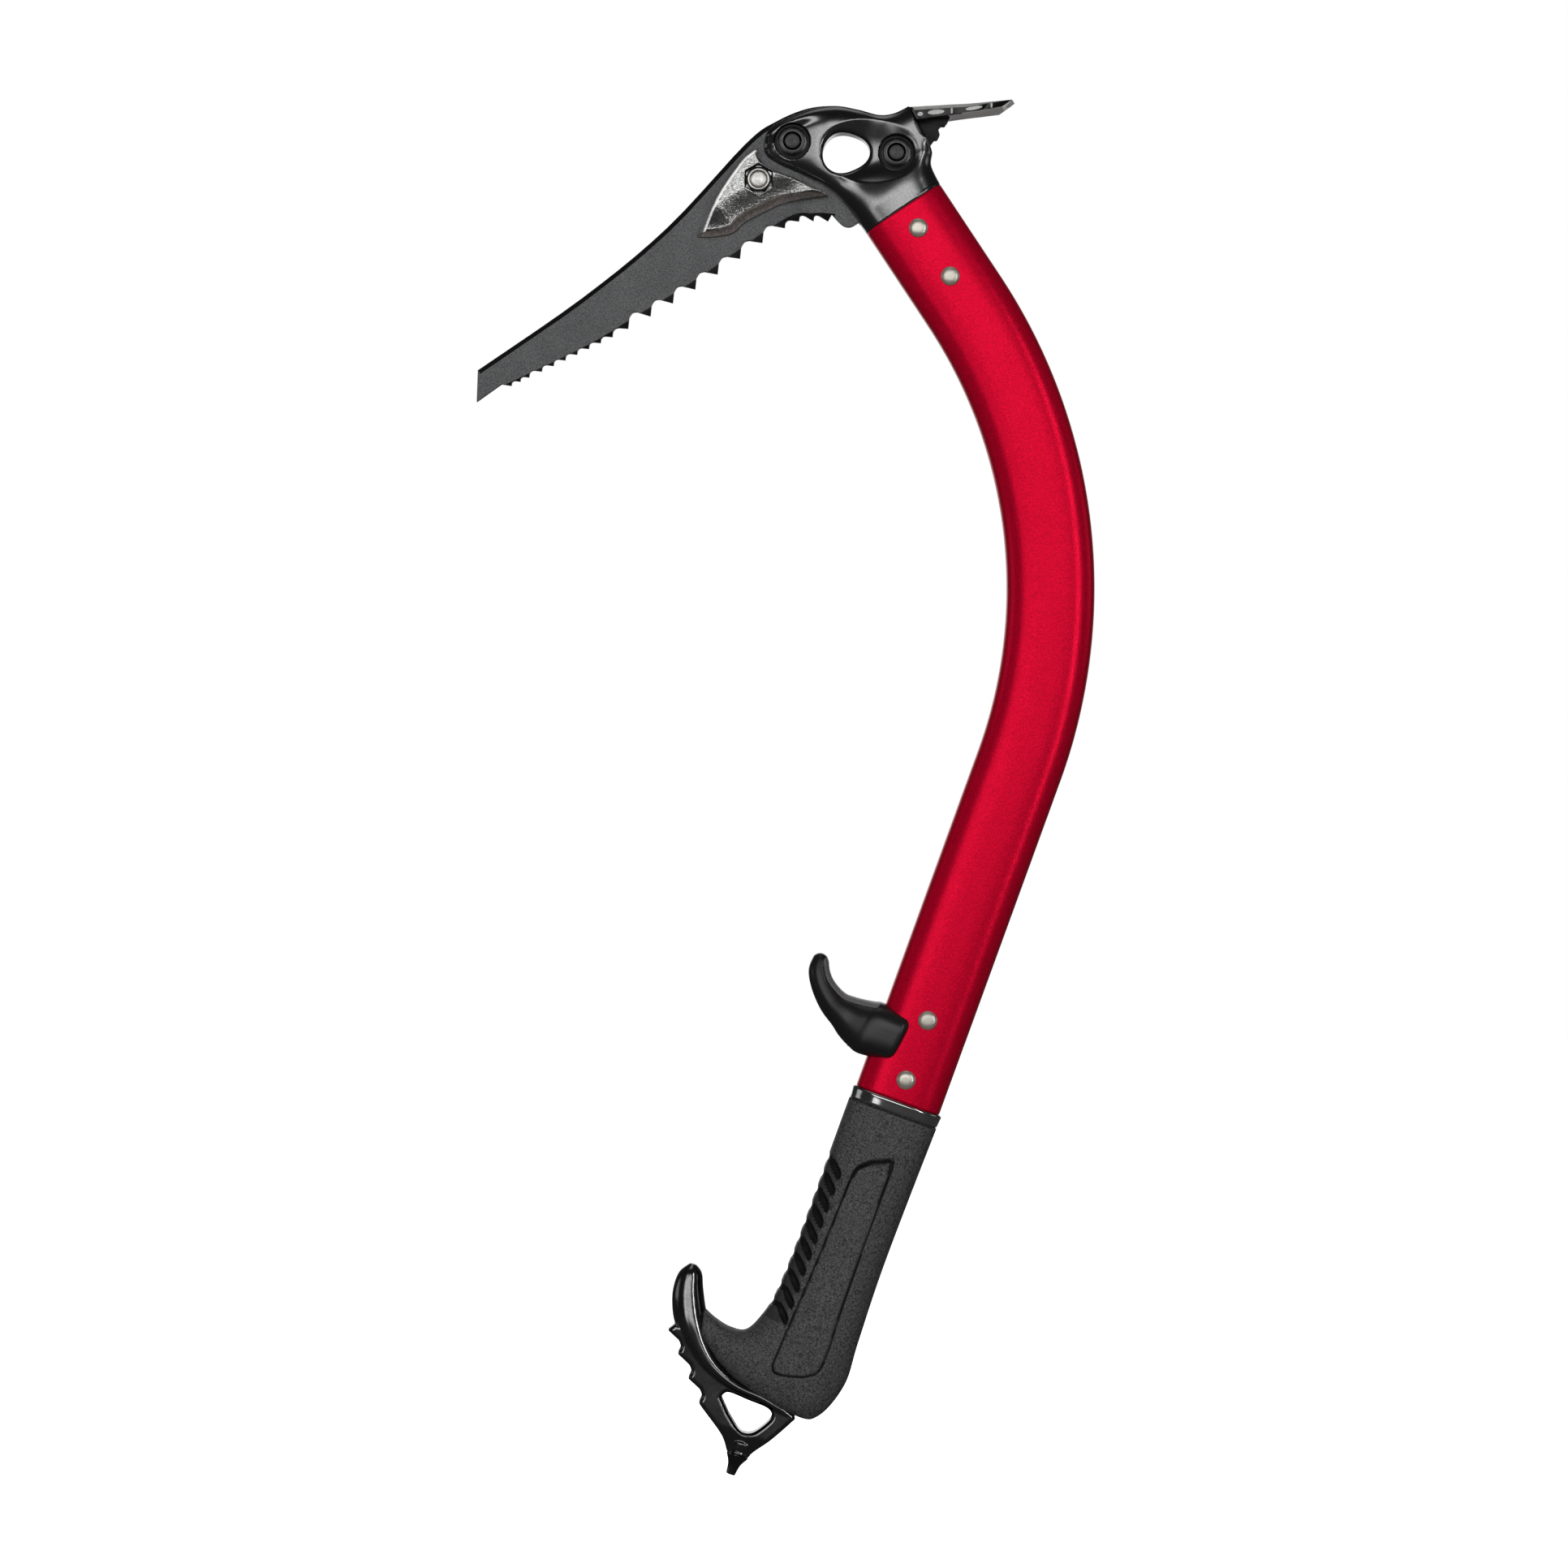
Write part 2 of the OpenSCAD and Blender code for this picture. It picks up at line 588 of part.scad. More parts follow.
// adze: tang in the rear slot, stepped gusset, and a flared blade with scalloped sides
// the blade's rear face stands a slot's gap off the seat on the head
adze_top = seat_top + 0.8 * head_unit * seat_way + slot_gap * [-seat_way.y, seat_way.x];
adze_low = adze_top - adze_thickness / seat_way.y * seat_way;
adze_run = adze_reach - adze_top.x;
adze_rise = 2.1 * head_unit;
adze_bevel = 4.2 * head_unit;
adze_gusset = on_head([[24.2, 15.2], [38, 14.2], [37, 11.4], [36, 10], [34.5, 10], [33.6, 8.8], [34.2, 6.8],
    [33.3, 5], [32.2, 5], [31, 3.4], [30.6, 2.6]]);
module adze_tang_shape() {
    hull() {
        translate(adze_bolt_at) circle(r = 6.2 * head_unit);
        polygon(on_head([[24, 15.2], [30.6, 2.6], [27, 13]]));
    }
}
function adze_x(share) = adze_top.x + share * adze_run;
adze_side = curve([[adze_x(0), adze_root_width / 2], [adze_x(0.29), adze_root_width / 2 + 0.6],
    [adze_x(0.65), adze_width / 2 - 2.4], [adze_x(0.96), adze_width / 2]], 4);
adze_edge = curve([[adze_x(0.96), adze_width / 2], [adze_x(1), 0], [adze_x(0.96), -adze_width / 2]], 6);
// a chamfer along one upper edge of the blade, fading out towards the cutting edge
module adze_edge_chamfer() {
    skin([for (p = adze_side)
        let (share = (p.x - adze_top.x) / adze_run, drop = adze_chamfer * (1.02 - share), wide = 1.4 * drop)
        let (top = adze_top.y + share * adze_rise)
        [for (q = [[-wide, 0], [1, -drop - 1 / 1.4], [1, 1], [-wide, 1]]) [p.x, p.y + q.x, top + q.y]]]);
}
module adze_blade() {
    scallop_radius = 14 * head_unit;
    tip = [adze_x(1.01), adze_top.y + adze_rise];
    difference() {
        intersection() {
            plate(-adze_width, adze_width)
                polygon([adze_top, tip, [tip.x - adze_bevel, tip.y - adze_end_thickness], adze_low]);
            linear_extrude(2 * adze_width) polygon(concat(without_last(adze_side), without_last(adze_edge),
                [for (i = [len(adze_side) - 1:-1:0]) [adze_side[i].x, -adze_side[i].y]]));
        }
        both_sides() adze_edge_chamfer();
        for (x = [adze_x(0.236), adze_x(0.61)]) {
            both_sides() translate([x, lookup(x, adze_side) + scallop_radius - adze_scallop, 0])
                cylinder(r = scallop_radius, h = 2 * adze_width);
        }
    }
}
module adze() {
    color("darkslategray") difference() {
        union() {
            adze_blade();
            plate(-adze_tang / 2, adze_tang / 2) {
                adze_tang_shape();
                polygon(adze_gusset);
            }
        }
        at_point(adze_bolt_at) y_rod(bolt_hole, -20, 20);
    }
}

// trigger: a horn that curls forward and up from a saddle on the front of the tube
tube_front = -shaft_width / 2;
saddle_half = shaft_depth / 2 + saddle_wall;
trigger_inner = [[-28.2, 40.2], [-25.2, 39], [-23.1, 35.5], [-20.3, 32.5], [-15.4, 29.9], [-8.5, 30],
    [-1, 31.9], [9.6, 30]];
trigger_outer = [[-29.4, 39.9], [-30.9, 37], [-30.6, 33.2], [-27.4, 27.4], [-22.2, 21.7], [-15.5, 16.3],
    [-4, 10.8], [7.6, 12]];
trigger_depth = [1.6, horn_half_width - 1.2, horn_half_width, horn_half_width + 0.8, horn_half_width + 2,
    saddle_half - 3.2, saddle_half - 0.2, saddle_half];
module trigger_screw_place() {
    at_collar() translate([0, 0, trigger_screw_height]) children();
}
screw_seat = tube_front - 5.5;
module trigger() {
    color("black") difference() {
        at_collar() translate([tube_front, 0, 0])
            pair_loft(trigger_inner, trigger_outer, trigger_depth,
                [2, 2.2, 2.3, 2.5, 2.7, 3.2, 4.2, 5], 24, 2);
        at_collar() linear_extrude(lower_length) tube_section(fit);
        trigger_screw_place() {
            x_rod(trigger_screw_diameter + 4 * fit, screw_seat - 1, tube_front + 3);
            x_rod(trigger_screw_head + 0.6, screw_seat - 30, screw_seat);
        }
    }
}
module trigger_screw() {
    color("silver") trigger_screw_place() {
        x_rod(trigger_screw_diameter, screw_seat - 1, tube_front + 11);
        difference() {
            x_rod(trigger_screw_head, screw_seat - 4.5, screw_seat - fit);
            x_rod(trigger_screw_head / 2, screw_seat - 5, screw_seat - 2, $fn = 6);
        }
    }
}

// handle frame: tang in the tube, collar ring, core inside the grip, hooked pommel, eye and spike boss
// the collar's lip is level with the grip
collar_step = grip_swell - collar_lip - 0.1;
grip_depth = shaft_depth + 2 * grip_swell;
grip_half = shaft_width / 2 + collar_step - 0.1;
grip_width = 2 * grip_half;
boss_x = -10.6 * handle_unit;
boss_end = -handle_length;
horn_inner = on_handle([[-48.3, -81.3], [-45.4, -83.4], [-43, -88.6], [-40.6, -94], [-36.9, -99.2],
    [-31, -103.5]]);
horn_outer = on_handle([[-50.5, -81.5], [-53.1, -85.6], [-53.5, -91], [-51.9, -97], [-49, -103],
    [-43, -109.5]]);
horn_depth = [2.2, 4.6, 5.4, 5.7, pommel_thickness / 2, pommel_thickness / 2];
pommel_tooth = [-50.1, -107];
pommel_step = [6.63, -7.07];
pommel_teeth = [for (k = [0:2]) each concat([pommel_tooth + k * pommel_step],
    curve([for (g = [[5.2, -2.2], [6.6, -4], [6.4, -6.2]]) pommel_tooth + k * pommel_step + g], 2))];
pommel_right = curve([[-5.7, -138.6], [-0.6, -131.3], [4.8, -121.4], [8.6, -112]], 4);
pommel_outline = on_handle(concat([[-34, -100.5], [-48.4, -103.4]], pommel_teeth,
    [pommel_tooth + 3 * pommel_step, [-17.2, -137.6], [-14.8, -141], [-6.4, -141]], pommel_right,
    [[7, -98], [-7, -98], [-20, -104]]));
module pommel_eye() {
    scale(handle_unit) hull() {
        translate([-20.8, -122.9]) circle(r = 2.6, $fn = 24);
        translate([-6.3, -123.6]) circle(r = 2.6, $fn = 24);
        translate([-11, -129.2]) circle(r = 3.4, $fn = 24);
    }
}
module frame_inside_grip(grow) {
    translate([0, 0, -core_length]) linear_extrude(core_length - collar_height / 2)
        rounded_rectangle(core_width + 2 * grow, core_depth + 2 * grow, core_corner + grow);
    plate(-pommel_thickness / 2 - grow, pommel_thickness / 2 + grow)
        offset(delta = grow) polygon(pommel_outline);
}
module horn(grow) {
    pair_loft([for (p = horn_inner) p + grow * [0.8, 0.5]], [for (p = horn_outer) p - grow * [0.8, 0.5]],
        [for (h = horn_depth) h + grow], [for (h = horn_depth) 2.3], 20, 2);
}
module handle_frame() {
    color("dimgray") at_collar() difference() {
        union() {
            linear_extrude(handle_tang) tube_section(-shaft_wall - fit);
            translate([0, 0, -collar_height]) linear_extrude(collar_height) tube_section(collar_step);
            translate([0, 0, -lip_height]) linear_extrude(lip_height) tube_section(collar_step + collar_lip);
            frame_inside_grip(0);
            horn(0);
            translate([boss_x, 0, boss_end]) scale(handle_unit) cylinder(d1 = 8.6, d2 = 11.4, h = 8.6);
        }
        plate(-pommel_thickness, pommel_thickness) pommel_eye();
        translate([boss_x, 0, boss_end - spike_shank])
            cylinder(d = spike_shank + 2 * fit, h = spike_shank + 13 * handle_unit);
        for (k = [0, 1]) {
            translate([0, 0, handle_rivet_inset + k * handle_rivet_pitch])
                y_rod(rivet_diameter + 2 * fit, -shaft_depth, shaft_depth);
        }
        translate([0, 0, trigger_screw_height]) x_rod(trigger_screw_diameter + 2 * fit, -shaft_width, 0);
    }
}
module spike() {
    color("silver") at_collar() translate([boss_x, 0, boss_end]) {
        rotate_extrude() polygon([[0, -spike_length], [spike_tip / 2, -spike_length],
            [spike_neck / 2, -spike_flare], [spike_base / 2, -fit], [spike_shank / 2, -fit],
            [spike_shank / 2, spike_hold], [0, spike_hold]]);
    }
}

// grip: rubber round the core and over the inside of the hook, with front grooves and side panels
grip_down = [-27, -59, -80, -90] * handle_unit;
grip_back_down = [-32, -62, -88, -104] * handle_unit;
grip_front = concat([[-grip_half, -collar_height], [-grip_half, grip_down[0]], [-grip_half, grip_down[1]],
    [-grip_half - 0.8, grip_down[2]], [-grip_half - 2.8, grip_down[3]]],
    on_handle([[-23.2, -97.2], [-29, -98.4], [-35, -97.2], [-39.4, -95.4]]));
grip_back = concat([[grip_half, -collar_height], [grip_half - 0.6, grip_back_down[0]],
    [grip_half - 0.9, grip_back_down[1]], [grip_half - 0.1, grip_back_down[2]],
    [grip_half + 0.5, grip_back_down[3]]],
    on_handle([[12.4, -117.6], [3, -121.2], [-20, -117], [-37, -106]]));
grip_half_depth = [shaft_depth / 2 + collar_step - 0.1, grip_depth / 2, grip_depth / 2, grip_depth / 2,
    grip_depth / 2, grip_depth / 2 - 0.3, grip_depth / 2 - 1.2, grip_depth / 2 - 2.6,
    pommel_thickness / 2 + 1.4];
panel_outline = curve(on_handle([[-4.6, -28.6], [-3, -24.6], [2.6, -20.8], [5.4, -22], [5.8, -30],
    [6.4, -74.8], [7, -98], [3.6, -104.4], [-6.4, -107.6], [-9.8, -106], [-9.8, -98], [-7.4, -62.6],
    [-4.6, -28.6]]), 4);
// a groove runs level across the front and slopes down each side,
// and is as deep as the rubber over this inner form
function squared_oval(w, d, n) = [
    for (p = pair_ring([w / 2, 0], [-w / 2, 0], d / 2, 3.4, n)) [p.x, p.y]
];
module groove_floor() {
    translate([0, 0, boss_end]) linear_extrude(handle_length)
        polygon(squared_oval(grip_width - 2 * groove_depth, grip_depth - 2 * groove_depth, 40));
}
module groove(k) {
    plate(-grip_depth, grip_depth) translate([-grip_half, -groove_start - k * groove_pitch])
        polygon([[-3, groove_width * 1.2], [5.3, -3.6], [6.1, -4.6], [5.4, -5.5], [-3, -groove_width * 0.4]]);
}
module grip() {
    color([0.2, 0.2, 0.2]) at_collar() difference() {
        pair_loft(grip_front, grip_back, grip_half_depth, [for (p = grip_front) 3.4], 28, 4);
        frame_inside_grip(fit);
        horn(fit);
        both_sides() plate(grip_depth / 2 - panel_depth, grip_depth) polygon(without_last(panel_outline));
        difference() {
            for (k = [0:groove_count - 1]) {
                groove(k);
            }
            groove_floor();
        }
    }
}

shaft();
head();
pick();
adze();
pick_bolt();
pick_washer();
pick_nut();
adze_bolt();
adze_washer();
adze_nut();
weight_near();
weight_far();
weight_bolt();
weight_washer();
weight_nut();
head_rivets();
handle_rivets();
trigger();
trigger_screw();
handle_frame();
grip();
spike();
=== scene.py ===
"""Finished pieces, finishes, light and camera for an ice climbing tool, over its solid frame."""

import math

import bmesh
import bpy
import numpy as np
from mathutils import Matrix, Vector


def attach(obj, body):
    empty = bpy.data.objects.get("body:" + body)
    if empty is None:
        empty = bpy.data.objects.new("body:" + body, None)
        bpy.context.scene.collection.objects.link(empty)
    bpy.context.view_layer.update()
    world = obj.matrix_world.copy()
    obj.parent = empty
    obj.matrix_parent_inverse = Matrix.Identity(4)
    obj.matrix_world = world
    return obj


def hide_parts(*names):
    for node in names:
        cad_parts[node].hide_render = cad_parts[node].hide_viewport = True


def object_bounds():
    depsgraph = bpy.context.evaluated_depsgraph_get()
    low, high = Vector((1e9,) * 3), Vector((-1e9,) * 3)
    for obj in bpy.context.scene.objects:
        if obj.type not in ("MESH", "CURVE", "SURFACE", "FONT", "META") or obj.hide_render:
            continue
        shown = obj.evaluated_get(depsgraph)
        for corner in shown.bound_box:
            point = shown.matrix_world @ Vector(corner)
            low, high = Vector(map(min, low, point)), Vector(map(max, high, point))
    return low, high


bl_info = {
    "name": "Ice Climbing Tool",
    "version": (1, 0, 0),
    "blender": (4, 5, 0),
    "location": "3D View > Sidebar > Ice Tool",
    "description": "Builds the finished pieces of an ice climbing tool over its frame",
    "category": "Object",
}

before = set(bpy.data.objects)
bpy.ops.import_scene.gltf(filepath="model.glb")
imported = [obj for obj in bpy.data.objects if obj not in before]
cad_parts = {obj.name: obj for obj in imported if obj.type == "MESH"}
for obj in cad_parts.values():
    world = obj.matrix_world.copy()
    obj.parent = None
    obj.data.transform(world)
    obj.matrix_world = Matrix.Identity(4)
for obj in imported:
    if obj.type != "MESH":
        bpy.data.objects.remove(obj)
CAD_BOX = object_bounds()
TOOL = "tool"
MM = 0.001
TURN_STEPS = 96  # points round a turned piece
TUBE_STEPS = 144  # points round the tube
BEND_STEPS = 110  # sections along its bend
FINE_STEPS = 1200  # points round a section before they are spaced evenly
UPPER_LEAN = math.radians(33.5)
NECK = np.array([21.0, -20.0])  # middle of the head joint in X and Z, in millimetres


class ToolSizes(bpy.types.PropertyGroup):
    """Sizes of the tool that its finished pieces share, in the frame's own places"""

    upper_lean: bpy.props.FloatProperty(
        name="Upper lean", description="Lean of the upper straight from vertical",
        default=UPPER_LEAN, subtype="ANGLE")
    lower_lean: bpy.props.FloatProperty(
        name="Lower lean", description="Lean of the lower straight from vertical",
        default=math.radians(20.0), subtype="ANGLE")
    upper_length: bpy.props.FloatProperty(
        name="Upper straight", description="Length of the upper straight below the head",
        default=0.040, unit="LENGTH")
    lower_length: bpy.props.FloatProperty(
        name="Lower straight", description="Length of the lower straight above the collar",
        default=0.129, unit="LENGTH")
    bend_radius: bpy.props.FloatProperty(
        name="Bend radius", description="Radius of the bend at the middle of the tube",
        default=0.189, unit="LENGTH")
    tube_width: bpy.props.FloatProperty(
        name="Tube width", description="Width of the tube in the plane of the swing",
        default=0.032, unit="LENGTH")
    tube_depth: bpy.props.FloatProperty(
        name="Tube depth", description="Depth of the tube across the swing",
        default=0.021, unit="LENGTH")
    tube_square: bpy.props.FloatProperty(
        name="Tube squareness",
        description="Squareness of the tube's oval section, 2 for a plain oval",
        default=3.1, min=2)
    edge_reach: bpy.props.FloatProperty(
        name="Edge reach",
        description="Distance from the head's outline over which its sides round off",
        default=0.008, unit="LENGTH")
    head_thickness: bpy.props.FloatProperty(
        name="Head thickness", description="Thickness of the head beside the clip eye",
        default=0.016, unit="LENGTH")
    dish_depth: bpy.props.FloatProperty(
        name="Dish depth", description="Depth of the dish round the eye and the rear bolt",
        default=0.0026, unit="LENGTH")
    groove_depth: bpy.props.FloatProperty(
        name="Groove depth", description="Depth of the grooves in the front of the grip",
        default=0.0017, unit="LENGTH")
    panel_depth: bpy.props.FloatProperty(
        name="Panel depth", description="Depth of the side panels at the top of the grip",
        default=0.0016, unit="LENGTH")


class ToolFinishes(bpy.types.PropertyGroup):
    """Colours of the tool's finishes"""

    anodised_red: bpy.props.FloatVectorProperty(
        name="Anodised red", description="Colour of the tube",
        default=(0.575, 0.002, 0.026), subtype="COLOR", min=0, max=1)
    forged_black: bpy.props.FloatVectorProperty(
        name="Forged black", description="Colour of the head forging",
        default=(0.23, 0.23, 0.232), subtype="COLOR", min=0, max=1)
    frame_black: bpy.props.FloatVectorProperty(
        name="Frame black", description="Colour of the polished handle frame",
        default=(0.20, 0.20, 0.205), subtype="COLOR", min=0, max=1)
    pick_grey: bpy.props.FloatVectorProperty(
        name="Pick grey", description="Colour of the blasted sides of the pick",
        default=(0.075, 0.076, 0.078), subtype="COLOR", min=0, max=1)
    cast_silver: bpy.props.FloatVectorProperty(
        name="Cast silver", description="Colour of the pick weights",
        default=(0.62, 0.62, 0.61), subtype="COLOR", min=0, max=1)
    rivet_nickel: bpy.props.FloatVectorProperty(
        name="Rivet nickel", description="Colour of the rivets",
        default=(0.66, 0.62, 0.54), subtype="COLOR", min=0, max=1)
    moulded_black: bpy.props.FloatVectorProperty(
        name="Moulded black", description="Colour of the finger rest",
        default=(0.007, 0.007, 0.0075), subtype="COLOR", min=0, max=1)
    grip_charcoal: bpy.props.FloatVectorProperty(
        name="Grip charcoal", description="Colour of the rubber grip",
        default=(0.036, 0.036, 0.037), subtype="COLOR", min=0, max=1)


class StudioSettings(bpy.types.PropertyGroup):
    """Camera and light of the stage"""

    camera_distance: bpy.props.FloatProperty(
        name="Camera distance", description="Distance of the camera from the tool's middle plane",
        default=1.9, unit="LENGTH")
    frame_width: bpy.props.FloatProperty(
        name="Frame width", description="Width that the camera sees at the tool's middle plane",
        default=0.570, unit="LENGTH")
    key_power: bpy.props.FloatProperty(
        name="Key light",
        description="Power of the large soft light above and in front of the tool",
        default=23.6, subtype="POWER", unit="POWER")
    strip_power: bpy.props.FloatProperty(
        name="Strip lights",
        description="Power of the tall soft light beside the tool, the left one dimmer",
        default=2.4, subtype="POWER", unit="POWER")
    back_power: bpy.props.FloatProperty(
        name="Back light", description="Power of the soft light above and behind the tool",
        default=26.0, subtype="POWER", unit="POWER")


def spline(points, steps):
    """A smooth curve through the points, with the same number of steps between neighbours."""
    p = np.asarray(points, float)
    if p.ndim == 1:
        p = p[:, None]
    out = []
    for i in range(len(p) - 1):
        a, b, c, d = p[max(i - 1, 0)], p[i], p[i + 1], p[min(i + 2, len(p) - 1)]
        for k in range(steps):
            t = k / steps
            out.append(0.5 * (2 * b + (c - a) * t + (2 * a - 5 * b + 4 * c - d) * t ** 2
                              + (3 * b - a - 3 * c + d) * t ** 3))
    out.append(p[-1])
    return np.array(out)


def ease(a, b, x):
    """A soft step from 0 at a to 1 at b."""
    t = np.clip((np.asarray(x, float) - a) / (b - a), 0, 1)
    return t * t * (3 - 2 * t)


def line_distance(q, line):
    """Distance of each point q to a line of points."""
    best = np.full(len(q), 1e9)
    for a, b in zip(line[:-1], line[1:]):
        v = b - a
        t = np.clip((q - a) @ v / max(v @ v, 1e-12), 0, 1)
        best = np.minimum(best, np.linalg.norm(q - a - t[:, None] * v, axis=1))
    return best


def inside(q, loop):
    """True for each point q inside a closed loop of points."""
    hit = np.zeros(len(q), bool)
    for a, b in zip(loop, np.roll(loop, -1, axis=0)):
        crosses = (a[1] > q[:, 1]) != (b[1] > q[:, 1])
        rise = b[1] - a[1] if abs(b[1] - a[1]) >= 1e-9 else 1e-9
        hit ^= crosses & (q[:, 0] < a[0] + (q[:, 1] - a[1]) * (b[0] - a[0]) / rise)
    return hit


class Place:
    """A local frame in millimetres: x to the tool's back, y across, z up."""

    def __init__(self, origin, lean):
        self.origin = np.array(origin, float)
        self.x = np.array([math.cos(lean), 0, -math.sin(lean)])
        self.z = np.array([math.sin(lean), 0, math.cos(lean)])

    def world(self, p):
        p = np.asarray(p, float)
        out = self.origin + p[..., 0:1] * self.x + p[..., 2:3] * self.z
        out[..., 1] += p[..., 1]
        return out

    def level(self, ring, z):
        """A flat ring of points at a height z of this frame."""
        return self.world(np.column_stack([ring, np.full(len(ring), float(z))]))


def tube_places(sizes):
    """Frames at the head joint and at the collar, with the centre of the bend between them."""
    up, low = sizes.upper_lean, sizes.lower_lean
    neck = np.array([NECK[0], 0, NECK[1]])
    radius = sizes.bend_radius / MM
    start = neck + sizes.upper_length / MM * np.array([math.sin(up), 0, -math.cos(up)])
    centre = start - radius * np.array([math.cos(up), 0, math.sin(up)])
    end = centre + radius * np.array([math.cos(low), 0, -math.sin(low)])
    collar = end + sizes.lower_length / MM * np.array([-math.sin(low), 0, -math.cos(low)])
    return Place(neck, -up), Place(collar, low), centre


def even_ring(ring, count):
    """The same closed ring with its points spaced evenly."""
    closed = np.concatenate([ring, ring[:1]])
    along = np.concatenate([[0], np.cumsum(np.linalg.norm(np.diff(closed, axis=0), axis=1))])
    at = np.linspace(0, along[-1], count, endpoint=False)
    return np.stack([np.interp(at, along, closed[:, i]) for i in range(ring.shape[1])], axis=1)


def half_width(sizes):
    return sizes.tube_width / MM / 2


def half_depth(sizes):
    return sizes.tube_depth / MM / 2


def tube_half(sizes, u):
    """Half depth of the tube at a distance u from its middle line, a squared oval."""
    share = np.clip(np.abs(u) / half_width(sizes), 0, 1)
    return half_depth(sizes) * (1 - share ** sizes.tube_square) ** (1 / sizes.tube_square)


def squared_circle(square, count):
    """Points of a unit circle pressed towards a square, as a row of x and a row of y."""
    q = np.linspace(0, 2 * math.pi, count, endpoint=False)
    points = np.stack([np.cos(q), np.sin(q)])
    return np.sign(points) * np.abs(points) ** (2 / square)


def tube_ring(sizes, grow, count=TUBE_STEPS, square=None):
    """Points round the tube's section, spaced evenly."""
    x, y = squared_circle(square or sizes.tube_square, FINE_STEPS)
    x, y = (half_width(sizes) + grow) * x, (half_depth(sizes) + grow) * y
    return even_ring(np.stack([x, y], axis=1), count)


def oval_ring(a, b, half, square, count):
    """A rounded ring between two edge points, with a half depth across and a squareness."""
    x, y = squared_circle(square, count)
    m = (a + b) / 2 + (a - b) / 2 * x[:, None]
    return np.stack([m[:, 0], half * y, m[:, 1]], axis=1)


def pair_rings(inner, outer, half, square, steps, count):
    """Rounded rings between two edge lines, with a half depth and a squareness for each pair."""
    a, b = spline(inner, steps), spline(outer, steps)
    h, p = spline(half, steps)[:, 0], spline(square, steps)[:, 0]
    return np.array([oval_ring(*pair, count) for pair in zip(a, b, h, p)])


def linked(name, data):
    """A new object in the scene that holds the data."""
    obj = bpy.data.objects.new(name, data)
    bpy.context.scene.collection.objects.link(obj)
    return obj


def object_from(name, bm):
    """A new object from an edit mesh, which is freed."""
    mesh = bpy.data.meshes.new(name)
    bm.to_mesh(mesh)
    bm.free()
    return linked(name, mesh)


def discard(obj):
    """Removes an object and its mesh."""
    mesh = obj.data
    bpy.data.objects.remove(obj)
    bpy.data.meshes.remove(mesh)


def new_object(name, verts_mm, faces):
    """A mesh object from millimetre points, with its faces turned outward."""
    mesh = bpy.data.meshes.new(name)
    mesh.from_pydata((np.asarray(verts_mm) * MM).tolist(), [], faces)
    bm = bmesh.new()
    bm.from_mesh(mesh)
    bmesh.ops.recalc_face_normals(bm, faces=bm.faces)
    bm.to_mesh(mesh)
    bm.free()
    return linked(name, mesh)


def ring_object(name, rings, looped=False, capped=True):
    """A skin over rings of points, with its ends closed or joined."""
    rings = np.asarray(rings, float)
    r, n = rings.shape[:2]
    faces = []
    for k in range(r if looped else r - 1):
        a, b = k * n, (k + 1) % r * n
        for i in range(n):
            j = (i + 1) % n
            faces.append((a + i, a + j, b + j, b + i))
    verts = rings.reshape(-1, 3)
    if not looped and capped:
        verts = np.concatenate([verts, [rings[0].mean(axis=0), rings[-1].mean(axis=0)]])
        for i in range(n):
            j = (i + 1) % n
            faces.append((r * n, j, i))
            faces.append((r * n + 1, (r - 1) * n + i, (r - 1) * n + j))
    return new_object(name, verts, faces)


def turned_object(name, rows, origin, axis=(0, 1, 0), looped=False):
    """A turned piece: rows of radius and height along an axis, each a number or a list round it."""
    axis = np.array(axis, float) / np.linalg.norm(axis)
    side = np.array([0.0, 0, 1]) if abs(axis[2]) < 0.9 else np.array([0.0, 1, 0])
    e1 = np.cross(side, axis)
    e1 /= np.linalg.norm(e1)
    e2 = np.cross(axis, e1)
    q = np.linspace(0, 2 * math.pi, TURN_STEPS, endpoint=False)
    out = np.cos(q)[:, None] * e1 + np.sin(q)[:, None] * e2
    rings = []
    for row in rows:
        radius, height = (np.broadcast_to(value, (TURN_STEPS,))[:, None] for value in row)
        rings.append(np.array(origin) + height * axis + radius * out)
    return ring_object(name, rings, looped)


def hexagon(flats, turn=0.0):
    """Radius round the turn of a hexagon with the given width across its flats."""
    q = np.linspace(0, 2 * math.pi, TURN_STEPS, endpoint=False) + turn
    wrapped = (q + math.pi / 6) % (math.pi / 3) - math.pi / 6
    return flats / 2 / np.cos(wrapped)


def vectors_of(items, what):
    """One vector of each vertex or face of a mesh."""
    out = np.empty(len(items) * 3)
    items.foreach_get(what, out)
    return out.reshape(-1, 3)


def points_of(mesh):
    return vectors_of(mesh.vertices, "co") / MM


def middles_of(mesh):
    return vectors_of(mesh.polygons, "center") / MM


def set_points(mesh, points_mm):
    mesh.vertices.foreach_set("co", (np.asarray(points_mm) * MM).ravel())
    mesh.update()


def paint(obj, kinds):
    """Gives each face the finish with that number."""
    obj.data.polygons.foreach_set("material_index", np.asarray(kinds, np.int32))
    obj.data.update()


def smooth_points(mesh, rounds):
    """Evens out a mesh and swells it back after each round, so that its volume stays."""
    p = points_of(mesh)
    edges = np.empty(len(mesh.edges) * 2, int)
    mesh.edges.foreach_get("vertices", edges)
    a, b = edges.reshape(-1, 2).T
    count = np.bincount(a, minlength=len(p)) + np.bincount(b, minlength=len(p))
    count = np.maximum(count, 1)[:, None]
    for share in (0.5, -0.53) * rounds:
        near = np.stack([np.bincount(a, p[b, i], len(p)) + np.bincount(b, p[a, i], len(p))
                         for i in range(3)], axis=1) / count
        p = p + share * (near - p)
    set_points(mesh, p)


